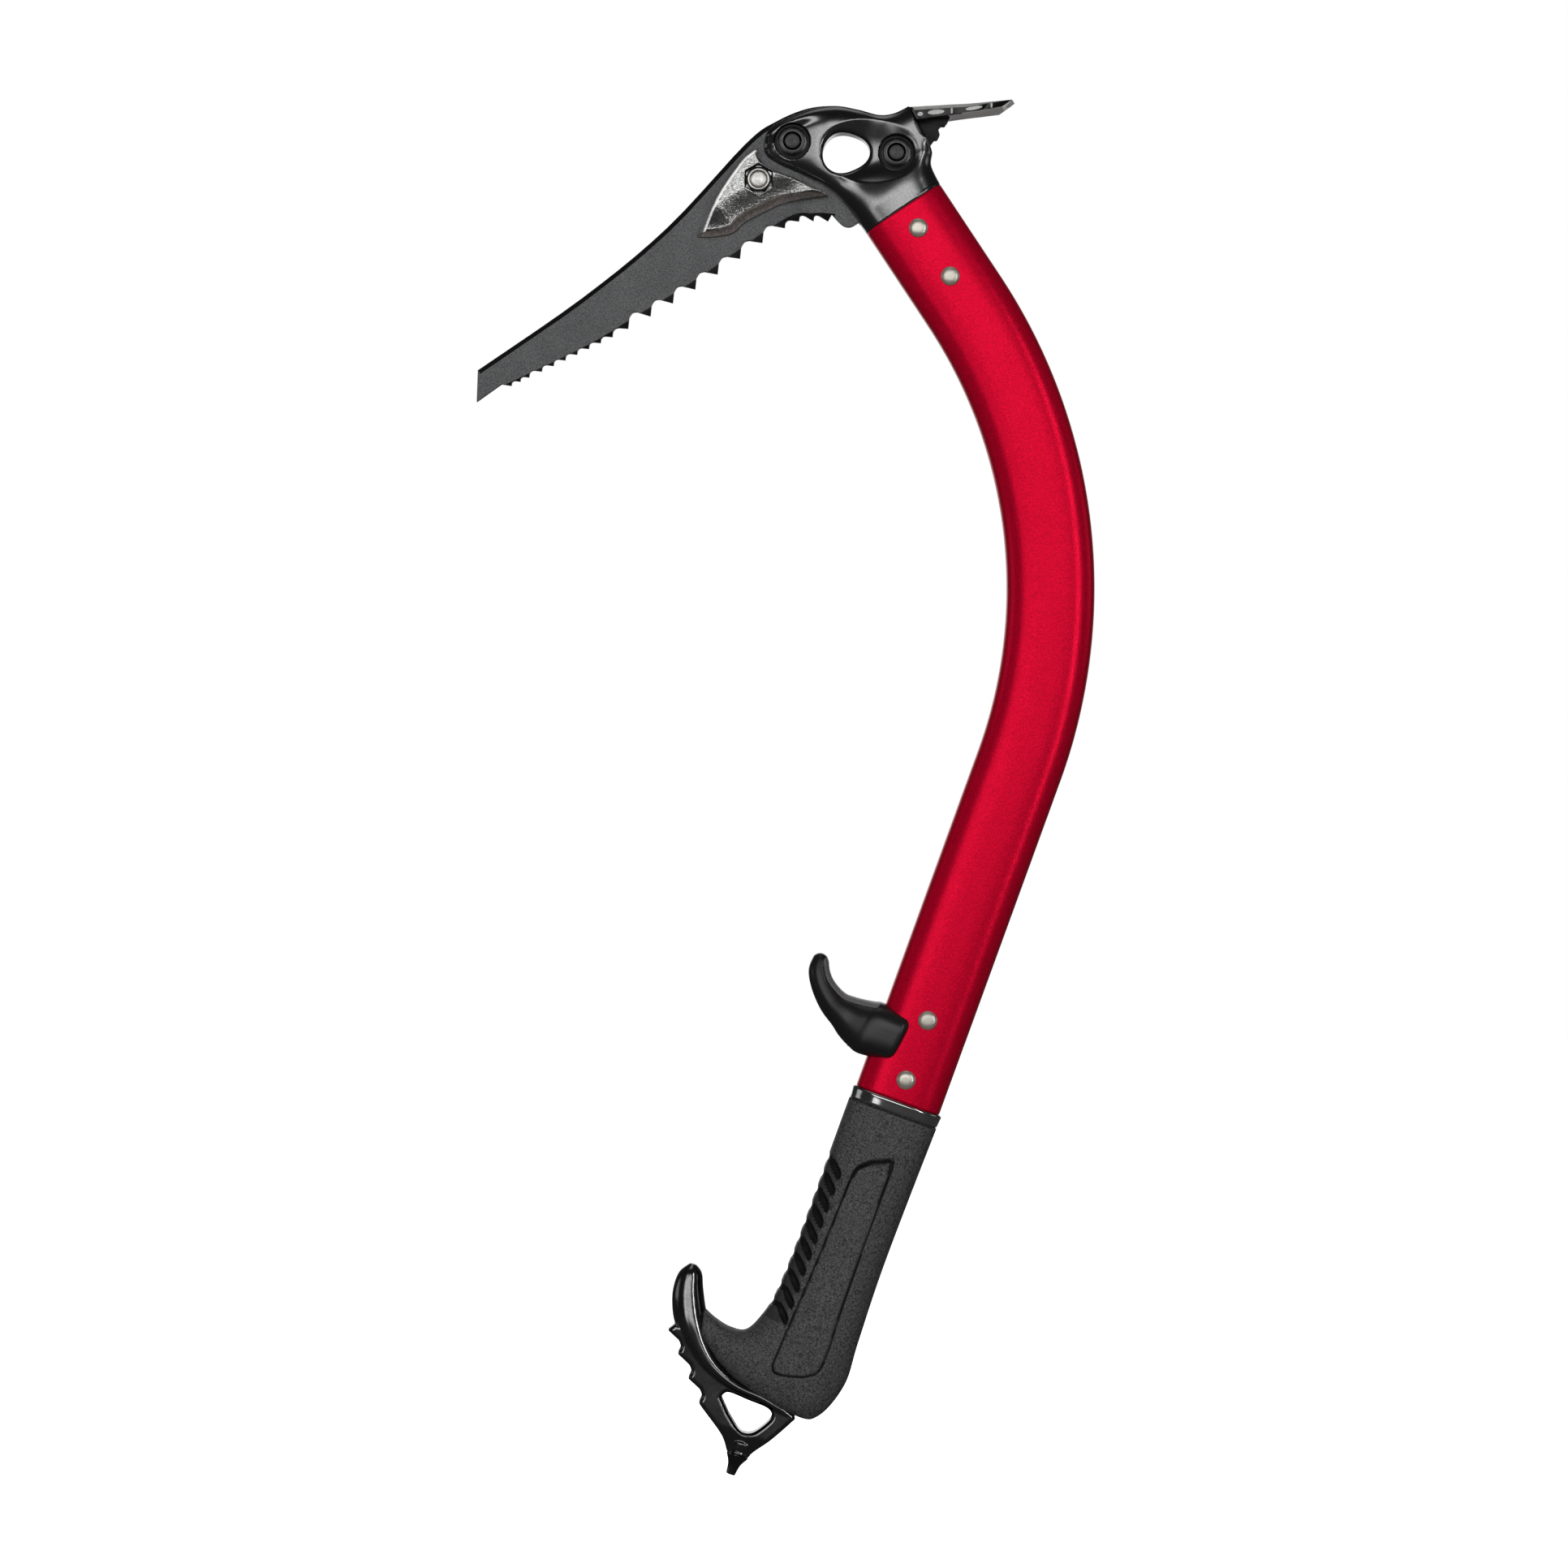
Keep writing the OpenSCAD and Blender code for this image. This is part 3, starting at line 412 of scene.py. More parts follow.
def modified(obj, kind, **values):
    """Bakes one modifier into an object's mesh."""
    step = obj.modifiers.new(kind.lower(), kind)
    for key, value in values.items():
        setattr(step, key, value)
    graph = bpy.context.evaluated_depsgraph_get()
    mesh = bpy.data.meshes.new_from_object(obj.evaluated_get(graph))
    old = obj.data
    obj.modifiers.clear()
    obj.data = mesh
    bpy.data.meshes.remove(old)
    mesh.name = obj.name
    return obj


def remeshed(obj, voxel_mm, rounds):
    """Fuses the shells of an object into one even mesh and rounds its edges."""
    modified(obj, "REMESH", mode="VOXEL", voxel_size=voxel_mm * MM)
    smooth_points(obj.data, rounds)
    return obj


def soften_edges(obj, width_mm):
    """Rounds the sharp edges of a solid."""
    return modified(obj, "BEVEL", width=width_mm * MM, segments=2, limit_method="ANGLE",
                    angle_limit=math.radians(25))


def cut_away(obj, cutters):
    """Takes the cutters out of an object."""
    for cutter in cutters:
        modified(obj, "BOOLEAN", operation="DIFFERENCE", solver="EXACT", object=cutter)
        discard(cutter)
    return obj


def joined(name, parts):
    """One object from several shells."""
    bm = bmesh.new()
    for part in parts:
        bm.from_mesh(part.data)
        discard(part)
    return object_from(name, bm)


def plate_object(name, loops, y0, y1):
    """A flat plate with holes from closed outlines in X and Z, in millimetres."""
    bm = bmesh.new()
    for loop in loops:
        verts = [bm.verts.new((p[0] * MM, y0 * MM, p[1] * MM)) for p in loop]
        for i, v in enumerate(verts):
            bm.edges.new((v, verts[(i + 1) % len(verts)]))
    bmesh.ops.triangle_fill(bm, edges=bm.edges[:], use_dissolve=False, use_beauty=True)
    made = bmesh.ops.extrude_face_region(bm, geom=bm.faces[:])
    moved = [v for v in made["geom"] if isinstance(v, bmesh.types.BMVert)]
    bmesh.ops.translate(bm, verts=moved, vec=(0, (y1 - y0) * MM, 0))
    bmesh.ops.recalc_face_normals(bm, faces=bm.faces)
    return object_from(name, bm)


def node_copy(name, node):
    """A welded copy of a frame solid, with its flat faces whole."""
    bm = bmesh.new()
    bm.from_mesh(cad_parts[node].data)
    bmesh.ops.remove_doubles(bm, verts=bm.verts, dist=2e-6)
    bmesh.ops.dissolve_limit(bm, angle_limit=math.radians(0.6), verts=bm.verts, edges=bm.edges)
    bmesh.ops.recalc_face_normals(bm, faces=bm.faces)
    return object_from(name, bm)


def dress(obj, node, finishes, body=TOOL, sharp=None):
    """Gives a piece its finishes and its body, and hides the solid that it stands for."""
    obj.data.materials.clear()
    for one in finishes:
        obj.data.materials.append(one)
    obj.data.shade_smooth()
    if sharp is not None:
        obj.data.set_sharp_from_angle(angle=math.radians(sharp))
    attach(obj, body)
    if node:
        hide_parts(node)


def node_tree(name):
    """A new material with its nodes and its shader."""
    material = bpy.data.materials.new(name)
    material.use_nodes = True
    tree = material.node_tree
    return material, tree, tree.nodes["Principled BSDF"]


def fill(tree, node, inputs):
    """Sets a node's inputs, each to a plain value or by a link from another node."""
    for key, value in inputs.items():
        if isinstance(value, bpy.types.NodeSocket):
            tree.links.new(value, node.inputs[key])
        else:
            node.inputs[key].default_value = value


def add_node(tree, kind, inputs=None, **values):
    """A new shader node with its settings and its inputs."""
    node = tree.nodes.new("ShaderNode" + kind)
    for key, value in values.items():
        setattr(node, key, value)
    fill(tree, node, inputs or {})
    return node


def worked(tree, operation, *values):
    """The result of one sum on plain values or links."""
    return add_node(tree, "Math", dict(enumerate(values)), operation=operation).outputs[0]


def distance(tree, place):
    """The length of a vector."""
    return add_node(tree, "VectorMath", {0: place}, operation="LENGTH").outputs["Value"]


def mixed(tree, share, a, b):
    """One of two colours, chosen by the kind of ray; a colour is a link or a plain value."""
    return add_node(tree, "Mix", {0: share, 6: a, 7: b}, data_type="RGBA").outputs[2]


def place_noise(tree, scale, detail):
    """Noise laid over the object's own coordinates."""
    place = add_node(tree, "TexCoord").outputs["Object"]
    noise = add_node(tree, "TexNoise", {"Vector": place, "Scale": scale, "Detail": detail})
    return noise.outputs["Fac"]


def ramp(tree, source, low, high, start=0.3, end=0.7):
    """A blend from one colour or level to another while the source rises from start to end."""
    node = add_node(tree, "ValToRGB", {"Fac": source})
    for element, at, value in zip(node.color_ramp.elements, (start, end), (low, high)):
        element.position = at
        element.color = (*np.broadcast_to(value, (3,)), 1)
    return node.outputs["Color"]


def bump(tree, source, depth_mm):
    """A surface normal for relief of the given depth."""
    relief = {"Strength": 1.0, "Distance": depth_mm * MM, "Height": source}
    return add_node(tree, "Bump", relief).outputs["Normal"]


def shades(colour, low, high):
    return [tuple(min(c * f, 1.0) for c in colour) for f in (low, high)]


def grained_finish(name, colour, metallic, roughness, grain, depth_mm, spread, rough_spread,
                   specular=0.5, detail=2.0):
    """A finish with fine grain: noise in its colour, its roughness and its height."""
    material, tree, shader = node_tree(name)
    noise = place_noise(tree, grain, detail)
    slow = place_noise(tree, grain * 0.06, 3.0)
    smooth, rough = max(roughness - rough_spread, 0.02), roughness + rough_spread
    fill(tree, shader, {
        "Metallic": metallic,
        "Specular IOR Level": specular,
        "Base Color": ramp(tree, noise, *shades(colour, *spread)),
        "Roughness": ramp(tree, slow, smooth, rough),
        "Normal": bump(tree, noise, depth_mm),
    })
    return material


def turned_finish(name, colour, centre_mm, roughness=0.28, pitch_mm=0.35):
    """Turned metal with fine rings round an axis along Y."""
    material, tree, shader = node_tree(name)
    shift = add_node(tree, "Mapping", {
        "Vector": add_node(tree, "TexCoord").outputs["Object"],
        "Location": (-centre_mm[0] * MM, 0, -centre_mm[1] * MM),
        "Scale": (1, 0, 1),
    })
    turns = worked(tree, "MULTIPLY", distance(tree, shift.outputs["Vector"]),
                   2 * math.pi / (pitch_mm * MM))
    wave = {"Value": worked(tree, "SINE", turns), "From Min": -1.0, "From Max": 1.0}
    level = add_node(tree, "MapRange", wave).outputs["Result"]
    slow = place_noise(tree, 600, 3.0)
    fill(tree, shader, {
        "Metallic": 1.0,
        "Base Color": ramp(tree, level, *shades(colour, 0.8, 1.15), 0.0, 1.0),
        "Roughness": ramp(tree, slow, roughness - 0.06, roughness + 0.1),
        "Normal": bump(tree, level, 0.012),
    })
    return material


# colour or the name of its property, metallic, roughness, grain, relief in millimetres, spread of
# the colour, spread of the roughness and, where they aren't the usual ones, specular and detail
FINISHES = {
    "anodised_tube": ("anodised_red", 0.6, 0.29, 1800, 0.03, (0.78, 1.22), 0.02, 0.06),
    "forged_head": ("forged_black", 1.0, 0.2, 1500, 0.004, (0.9, 1.1), 0.05),
    "polished_frame": ("frame_black", 1.0, 0.14, 900, 0.003, (0.9, 1.1), 0.04),
    "dark_collar": ((0.62, 0.62, 0.62), 1.0, 0.12, 1500, 0.003, (0.9, 1.1), 0.03),
    "blasted_pick": ("pick_grey", 0.3, 0.5, 1900, 0.06, (0.55, 1.45), 0.05),
    # black: the pick's bevels, the seam at the head's neck and the weight nut's flanks; also
    # painted shade in the head's bolt recesses and on the adze's gusset
    "black_edges": ((0.010, 0.010, 0.011), 0.6, 0.42, 1800, 0.01, (0.8, 1.3), 0.05),
    "cast_weight": ("cast_silver", 1.0, 0.26, 1300, 0.22, (0.6, 1.25), 0.05, 0.5, 3.0),
    # darker lower facet of the weights: partly its own smoother finish, partly painted shade of a
    # face turned down
    "dark_facet": ((0.10, 0.088, 0.08), 0.4, 0.45, 1300, 0.1, (0.6, 1.4), 0.06),
    # painted shade on the weights' left bevel, which faces away from the light
    "weight_bevel": ((0.22, 0.22, 0.22), 0.6, 0.4, 1400, 0.02, (0.8, 1.2), 0.06),
    # painted highlight: a bright line along the weights' left edge
    "bright_edge": ((0.86, 0.86, 0.85), 0.3, 0.4, 1400, 0.03, (0.85, 1.1), 0.06),
    "adze_black": ((0.03, 0.03, 0.03), 0.9, 0.24, 1400, 0.004, (0.9, 1.1), 0.04),
    # bare ground edges of the adze, and painted reflections on its sides
    "ground_steel": ((0.36, 0.36, 0.35), 0.2, 0.4, 1400, 0.01, (0.85, 1.1), 0.06),
    "nickel_rivet": ("rivet_nickel", 0.85, 0.34, 2400, 0.006, (0.9, 1.1), 0.05),
    "moulded_rest": ("moulded_black", 0.0, 0.32, 1900, 0.01, (0.85, 1.2), 0.05, 0.55),
    # painted light: a lighter grey where the top light falls on the finger rest's inner top edge
    "rest_edge": ((0.11, 0.11, 0.11), 0.0, 0.36, 1900, 0.01, (0.85, 1.2), 0.05),
    "rubber_grip": ("grip_charcoal", 0.0, 0.5, 1700, 0.3, (0.15, 2.3), 0.06, 0.4),
    "smooth_rubber": ((0.024, 0.024, 0.025), 0.0, 0.36, 900, 0.02, (0.8, 1.3), 0.05),
    # painted shade: the darkest rubber, in the grooves and in the line round the side panels
    "groove_rubber": ((0.005, 0.005, 0.0055), 0.0, 0.5, 900, 0.02, (0.8, 1.3), 0.05, 0.15),
    "dark_screw": ((0.12, 0.12, 0.12), 1.0, 0.3, 1800, 0.006, (0.9, 1.1), 0.05),
    "ground_spike": ((0.13, 0.13, 0.13), 1.0, 0.22, 1500, 0.006, (0.85, 1.15), 0.06),
}
MADE = {}


def finish(*names):
    """Finishes from the table, each made once and shared by the pieces."""
    for name in names:
        if name not in MADE:
            colour, *rest = FINISHES[name]
            if isinstance(colour, str):
                colour = getattr(bpy.context.scene.ice_tool_finishes, colour)
            MADE[name] = grained_finish(name, colour, *rest)
    return [MADE[name] for name in names]


class IceToolShaft(bpy.types.Operator):
    """Bent tube with even walls, swept along the shaft's middle line"""

    bl_idname = "ice_tool.shaft"
    bl_label = "Shaft"

    def execute(self, context):
        sizes = context.scene.ice_tool_sizes
        neck, collar, centre = tube_places(sizes)
        radius = sizes.bend_radius / MM
        skin = -0.04
        section = tube_ring(sizes, skin)
        rings = [neck.level(tube_ring(sizes, grow), z) for z, grow in
                 ((-2.0, -1.6), (-0.15, -1.6), (-0.15, -0.25), (-0.4, skin))]
        rings += [neck.level(section, z) for z in np.linspace(-1.0, -sizes.upper_length / MM, 12)]
        for a in np.linspace(sizes.upper_lean, -sizes.lower_lean, BEND_STEPS)[1:-1]:
            at = centre + radius * np.array([math.cos(a), 0, math.sin(a)])
            rings.append(Place(at, -a).level(section, 0))
        rings += [collar.level(section, z) for z in np.linspace(sizes.lower_length / MM, 0.8, 24)]
        rings += [collar.level(tube_ring(sizes, grow), z) for z, grow in
                  ((0.3, skin), (0.05, -0.25), (0.05, -1.6), (2.0, -1.6))]
        obj = ring_object("shaft_tube", rings, capped=False)
        dress(obj, "shaft", finish("anodised_tube"), sharp=50)
        return {"FINISHED"}


# axes, outlines and profiles of the pieces are in millimetres, mostly in X and Z
PICK_BOLT = (-19.4, 4.1)
ADZE_BOLT = (18.4, 0.0)
WEIGHT_BOLT = (-31.6, -9.7)
BOLT_SEAT = 4.2  # depth of the bolts' seats from the middle plane
RECESS = 6.5  # radius of the recesses round bolts and nuts in the head
NUT_FACE = 6.8  # distance of the nuts' faces from the middle plane
EYE_TILT = math.radians(12)
EYE_HALF = (8.6, 7.2)
DISH_TILT = math.radians(-4)
DISH_MIDDLE = np.array([8.6, 0.4])
DISH_HALF = (18.6, 11.6)
NECK_CORNER = 16 * np.array([math.cos(UPPER_LEAN), math.sin(UPPER_LEAN)])
HEAD_FRONT = [
    NECK - NECK_CORNER, (-4, -14.2), (-14, -8.4), (-24, -4.2), (-29.3, -0.2), (-29.3, 5.5),
    (-25.5, 10.4), (-14, 15.3), (-4, 17), (4.5, 15.7), (12, 13.8), (17.5, 14.4), (22.9, 17),
]
HEAD_REAR = [(30.2, 3.4), (31.4, 0.2), (31.2, -4.5), NECK + NECK_CORNER]
PICK_SLOT = [
    (-40, -12), (-40, 20), (2.6, 24), (2.6, 11.7), (-6.4, 10.9), (-11.7, 5), (-11.7, -3.5),
    (-7.2, -9.7), (-0.4, -11.9), (8.4, -21.9), (2, -30),
]
ADZE_SLOT = [
    (16, 6.2), (24, 15.3), (40, 22), (40, 0), (30.6, 2.5), (19, -6.3), (13.5, -4), (12.2, 0),
    (13, 3.4),
]
LEAST_HEAD_POINTS = 20000


def eye_radius(angle):
    """Distance of the clip eye's edge from its middle: an oval that narrows to its rear."""
    turned = angle - EYE_TILT
    oval = 1 / np.hypot(np.cos(turned) / EYE_HALF[0], np.sin(turned) / EYE_HALF[1])
    return oval * (1 + 0.05 * (np.cos(3 * angle) - np.cos(angle) / 2))


def edge_fall(d, r):
    """How far an edge rounded with radius r lies below the flat, at a distance d from the edge."""
    d = np.minimum(np.maximum(d, 0), r)
    return r - np.sqrt(np.maximum(2 * r * d - d * d, 0))


def head_half_depth(sizes, q, front, rear, top):
    """Half thickness of the head: swollen at the neck, rounded at edges, dished round the eye."""
    down = np.array([math.sin(sizes.upper_lean), -math.cos(sizes.upper_lean)])
    s = ease(5, 20, -(q - NECK) @ down)  # 0 at the tube, 1 over the head
    tube = sizes.tube_depth / MM
    flat = (tube + (sizes.head_thickness / MM - tube) * s) / 2
    d = q - DISH_MIDDLE
    x = d[:, 0] * math.cos(DISH_TILT) + d[:, 1] * math.sin(DISH_TILT)
    z = d[:, 1] * math.cos(DISH_TILT) - d[:, 0] * math.sin(DISH_TILT)
    dish = 1 - np.hypot(x / DISH_HALF[0], z / DISH_HALF[1]) ** 2.4
    dish = (dish + np.sqrt(dish ** 2 + 0.0012)) / 2
    front_gap, rear_gap = line_distance(q, front), line_distance(q, rear)
    seat_gap = line_distance(q, np.array([front[-1], rear[0]]))
    seat = np.maximum(0.5 * edge_fall(seat_gap, 2.2),
                      edge_fall(rear_gap, 4.2) * ease(3.8, -1.2, q[:, 1]))
    from_middle = np.maximum(half_width(sizes) - np.minimum(front_gap, rear_gap), 0)
    at_neck = half_depth(sizes) - tube_half(sizes, from_middle)
    rounded = edge_fall(front_gap, sizes.edge_reach / MM) * 0.47
    fall = np.maximum(rounded * s + at_neck * (1 - s), seat * s)
    slope = ease(-5, -23, q[:, 0]) * ease(1.5, 5.5, line_distance(q, top))
    eye_gap = np.linalg.norm(q, axis=1) - eye_radius(np.arctan2(q[:, 1], q[:, 0]))
    sunk = sizes.dish_depth / MM * dish
    return np.maximum(flat - fall - edge_fall(eye_gap, 1.6) - sunk - 2.7 * slope, 0.4)


class IceToolHead(bpy.types.Operator):
    """Forged head with its clip eye, dishes, bolt recesses and blade slots"""

    bl_idname = "ice_tool.head"
    bl_label = "Head"

    def execute(self, context):
        sizes = context.scene.ice_tool_sizes
        obj = self.blank(sizes)
        cutters, shade_rings = [], []
        for at in (PICK_BOLT, ADZE_BOLT):
            for side in (-1, 1):
                origin = (at[0], 0, at[1])
                rows = [(RECESS, BOLT_SEAT * side), (RECESS, 12 * side)]
                cutters.append(turned_object("recess", rows, origin))
                # a thin black ring over the edge of each recess floor: painted shade in the gap
                # round the nut
                low, high = (BOLT_SEAT - 0.3) * side, (BOLT_SEAT + 0.06) * side
                rows = [(5.25, low), (5.25, high), (RECESS + 0.05, high), (RECESS + 0.05, low)]
                shade_rings.append(turned_object("recess_floor", rows, origin, looped=True))
        cutters.append(plate_object("pick_slot", [PICK_SLOT], -2.1, 2.1))
        cutters.append(plate_object("adze_slot", [ADZE_SLOT], -2.7, 2.7))
        remeshed(cut_away(obj, cutters), voxel_mm=0.25, rounds=8)
        p = points_of(obj.data)
        if len(p) < LEAST_HEAD_POINTS:
            raise ValueError("the head was lost in its cuts")
        smooth_points(obj.data, rounds=130)
        share = (ease(21.5, 25.5, p[:, 0]) * ease(10.5, 5, p[:, 2]))[:, None]
        set_points(obj.data, p + (points_of(obj.data) - p) * share)
        forged = len(obj.data.polygons)
        neck = tube_places(sizes)[0]
        seam = [neck.level(tube_ring(sizes, grow), z) for z, grow in
                ((1.5, -1.2), (1.5, -0.16), (-0.3, -0.16), (-0.3, -1.2))]
        seam = ring_object("neck_seam", seam, capped=False)
        obj = joined("head_forging", [obj, *shade_rings, seam])
        dress(obj, "head", finish("forged_head", "black_edges"), sharp=60)
        # faces after the forging take the black finish: the painted shade rings in the recesses and
        # the dark seam at the neck
        paint(obj, np.arange(len(obj.data.polygons)) >= forged)
        return {"FINISHED"}

    @staticmethod
    def blank(sizes):
        """The uncut head: rings from the eye out to the outline on one side, back on the other."""
        front, rear = spline(HEAD_FRONT, 14), spline(HEAD_REAR, 12)
        seat = np.linspace(front[-1], rear[0], 14)[1:-1]
        rim = np.concatenate([front, seat, rear])
        top = front[len(front) * 6 // 13:]
        outline = np.concatenate([rim, np.linspace(rear[-1], front[0], 50)[1:-1]])
        angle = np.arctan2(outline[:, 1], outline[:, 0])
        eye = eye_radius(angle)[:, None] * np.stack([np.cos(angle), np.sin(angle)], axis=1)
        across = np.array([math.cos(sizes.upper_lean), math.sin(sizes.upper_lean)])
        near = []
        for s in 1 - (1 - np.linspace(0, 1, 84)) ** 1.4:
            q = eye + s * (outline - eye)
            h = head_half_depth(sizes, q, front, rear, top)
            if s == 1:
                h[len(rim):] = np.maximum(tube_half(sizes, (q[len(rim):] - NECK) @ across), 0.3)
            near.append(np.stack([q[:, 0], -h, q[:, 1]], axis=1))
        far = [ring * np.array([1, -1, 1]) for ring in near[::-1]]
        return ring_object("head_blank", near + far, looped=True)


class IceToolPick(bpy.types.Operator):
    """Toothed pick with grey sides and black bevels"""

    bl_idname = "ice_tool.pick"
    bl_label = "Pick"

    def execute(self, context):
        obj = soften_edges(node_copy("pick_blade", "pick"), width_mm=0.12)
        dress(obj, "pick", finish("blasted_pick", "black_edges"), sharp=18)
        paint(obj, np.abs(vectors_of(obj.data.polygons, "normal")[:, 1]) <= 0.985)
        return {"FINISHED"}


GUSSET = [
    (24.3, 15.0), (38.4, 14.2), (37, 11.4), (36, 10), (34.5, 10), (33.6, 8.8), (34.2, 6.8),
    (33.3, 5), (32.2, 5), (31, 3.4), (30.7, 2.7), (27.0, 1.2), (21.0, 10.4),
]
# hollows in the blade's sides: start, end and depth
SCALLOPS = [(24.2, 28.8, 0.25), (28.8, 38.3, 0.4), (38.3, 52.6, 0.6), (52.6, 61.6, 0.35)]
# painted reflections in the hollows, as bright ovals: middle in X, middle as a share of the side's
# height, and their half sizes
PAINTED_GLINTS = [(26.9, 0.5, 1.0, 0.22), (32.6, 0.44, 3.0, 0.3), (46.3, 0.42, 3.0, 0.32)]
BLADE_SIDE = 30  # points down one side of the blade's section
BLADE_RING = 2 * (BLADE_SIDE + 3)


class IceToolAdze(bpy.types.Operator):
    """Small flared adze with scalloped sides, ground edges and a stepped gusset"""

    bl_idname = "ice_tool.adze"
    bl_label = "Adze"

    def execute(self, context):
        blade = ring_object("blade", [self.section(k) for k in np.linspace(-0.008, 1, 300)])
        gusset = soften_edges(plate_object("gusset", [GUSSET], -2.55, 2.55), width_mm=0.3)
        bladed = len(blade.data.polygons)
        obj = joined("adze_blade", [blade, gusset])
        finishes = finish("adze_black", "ground_steel", "black_edges")
        dress(obj, "adze", finishes, sharp=24)
        x = middles_of(obj.data)[:, 0]
        nx, ny, nz = vectors_of(obj.data.polygons, "normal").T
        ny = np.abs(ny)
        ground = (nz > 0.35) & (ny > 0.25) | (nz < -0.8) & (x > 38.5) | (nx > 0.35) & (ny < 0.5)
        index = np.arange(len(x))
        row = np.minimum(index % BLADE_RING, BLADE_RING - 1 - index % BLADE_RING)
        s = (row - 1.5) / (BLADE_SIDE - 1)
        # painted reflections: bright bars on the ridges between the hollows and bright ovals inside
        # them; on the sides only these take the light ground finish
        bright = (np.abs(s - 0.45) < 0.42) & (np.minimum(np.abs(x - 38.3), np.abs(x - 52.6)) < 0.32)
        for a, b, c, d in PAINTED_GLINTS:
            bright |= ((x - a) / c) ** 2 + ((s - b) / d) ** 2 < 1
        ground = np.where((row > 1) & (row < BLADE_SIDE + 1), bright, ground)
        # the gusset takes the black finish: painted shade where the blade overhangs it
        paint(obj, np.where(index >= bladed, 2, ground & (x > 24.4)))
        return {"FINISHED"}

    @staticmethod
    def section(k):
        """A slanted ring round the blade, at a share k of its length."""
        top = np.array([23.4 + 38.05 * k, 16.34 + 2.06 * k])
        low = np.array([26.0 + 31.7 * k, 11.46 + 4.3 * k])
        flare = spline([9.0, 9.5, 9.7, 10.4, 11.9], 15)[:, 0]
        side = np.interp(k, np.linspace(0, 1, len(flare)), flare)
        wide = side
        for start, end, depth in SCALLOPS:
            if start < top[0] < end:
                wide = side - depth * (1 - ((top[0] - start) / (end - start) * 2 - 1) ** 2)
        drop = 0.12 + 1.25 * (1 - ease(0.5, 1.0, k))
        at = drop / (top[1] - low[1])
        half = [(*top, 0.0), (*top, wide - 1.4 * drop)]
        half += [(*(top + (low - top) * s), wide) for s in np.linspace(at, 0.94, BLADE_SIDE)]
        half += [(*low, wide - 0.3), (*low, 0.0)]
        half = [(x - 1.5 * (y / 12) ** 2 * k * k, y, z) for x, z, y in half]
        return np.array(half + [(x, -y, z) for x, y, z in half[-2:0:-1]])


WEIGHT_LEFT = [
    (-33, 2.9), (-37.7, -0.45), (-40.9, -4.4), (-46.8, -13.05), (-50.7, -20.9), (-54.2, -29.6),
]
WEIGHT_LOW = [
    (-54.1, -30.2), (-48.2, -30.3), (-41, -28.8), (-36.6, -25), (-29, -21), (-21.1, -17.8),
    (-6.3, -15.4),
]


class IceToolWeights(bpy.types.Operator):
    """Cast crescent weights on both sides of the pick"""

    bl_idname = "ice_tool.weights"
    bl_label = "Pick weights"

    def execute(self, context):
        for node in ("weight_near", "weight_far"):
            obj = remeshed(node_copy(node + "_casting", node), voxel_mm=0.24, rounds=4)
            p = points_of(obj.data)
            low, left = self.edge_gaps(p)
            crown = 3.0 * (1 - ease(2.5, 11, low)) * (1 - 0.75 * ease(-26, -12, p[:, 0]))
            fall = crown + 1.3 * (1 - ease(0.2, 2.6, left))
            p[:, 1] -= np.sign(p[:, 1]) * fall * ease(2.2, 7.2, np.abs(p[:, 1]))
            set_points(obj.data, p)
            finishes = finish("cast_weight", "dark_facet", "weight_bevel", "bright_edge")
            dress(obj, node, finishes)
            middles = middles_of(obj.data)
            low, left = self.edge_gaps(middles)
            # the lower facet, widest in the middle: partly its own darker finish, partly painted
            # shade
            share = np.clip(1 - ((middles[:, 0] + 32) / 25) ** 2, 0, 1)
            # lower facet 1, painted shade on the left bevel 2, painted highlight line beside the
            # bevel 3
            paint(obj, np.select([low < 0.5 + 3.1 * share, left < 1.9, left < 2.7], [1, 2, 3]))
        return {"FINISHED"}

    @staticmethod
    def edge_gaps(p):
        """Distances of points from the lower and from the left edge of a weight."""
        return [line_distance(p[:, [0, 2]], spline(edge, 6)) for edge in (WEIGHT_LOW, WEIGHT_LEFT)]


# radius, and height over the bolt's seat
WASHER_ROWS = [(3.1, 0.05), (5.6, 0.05), (5.8, 0.2), (5.8, 0.9), (5.65, 1.04), (3.1, 1.04)]


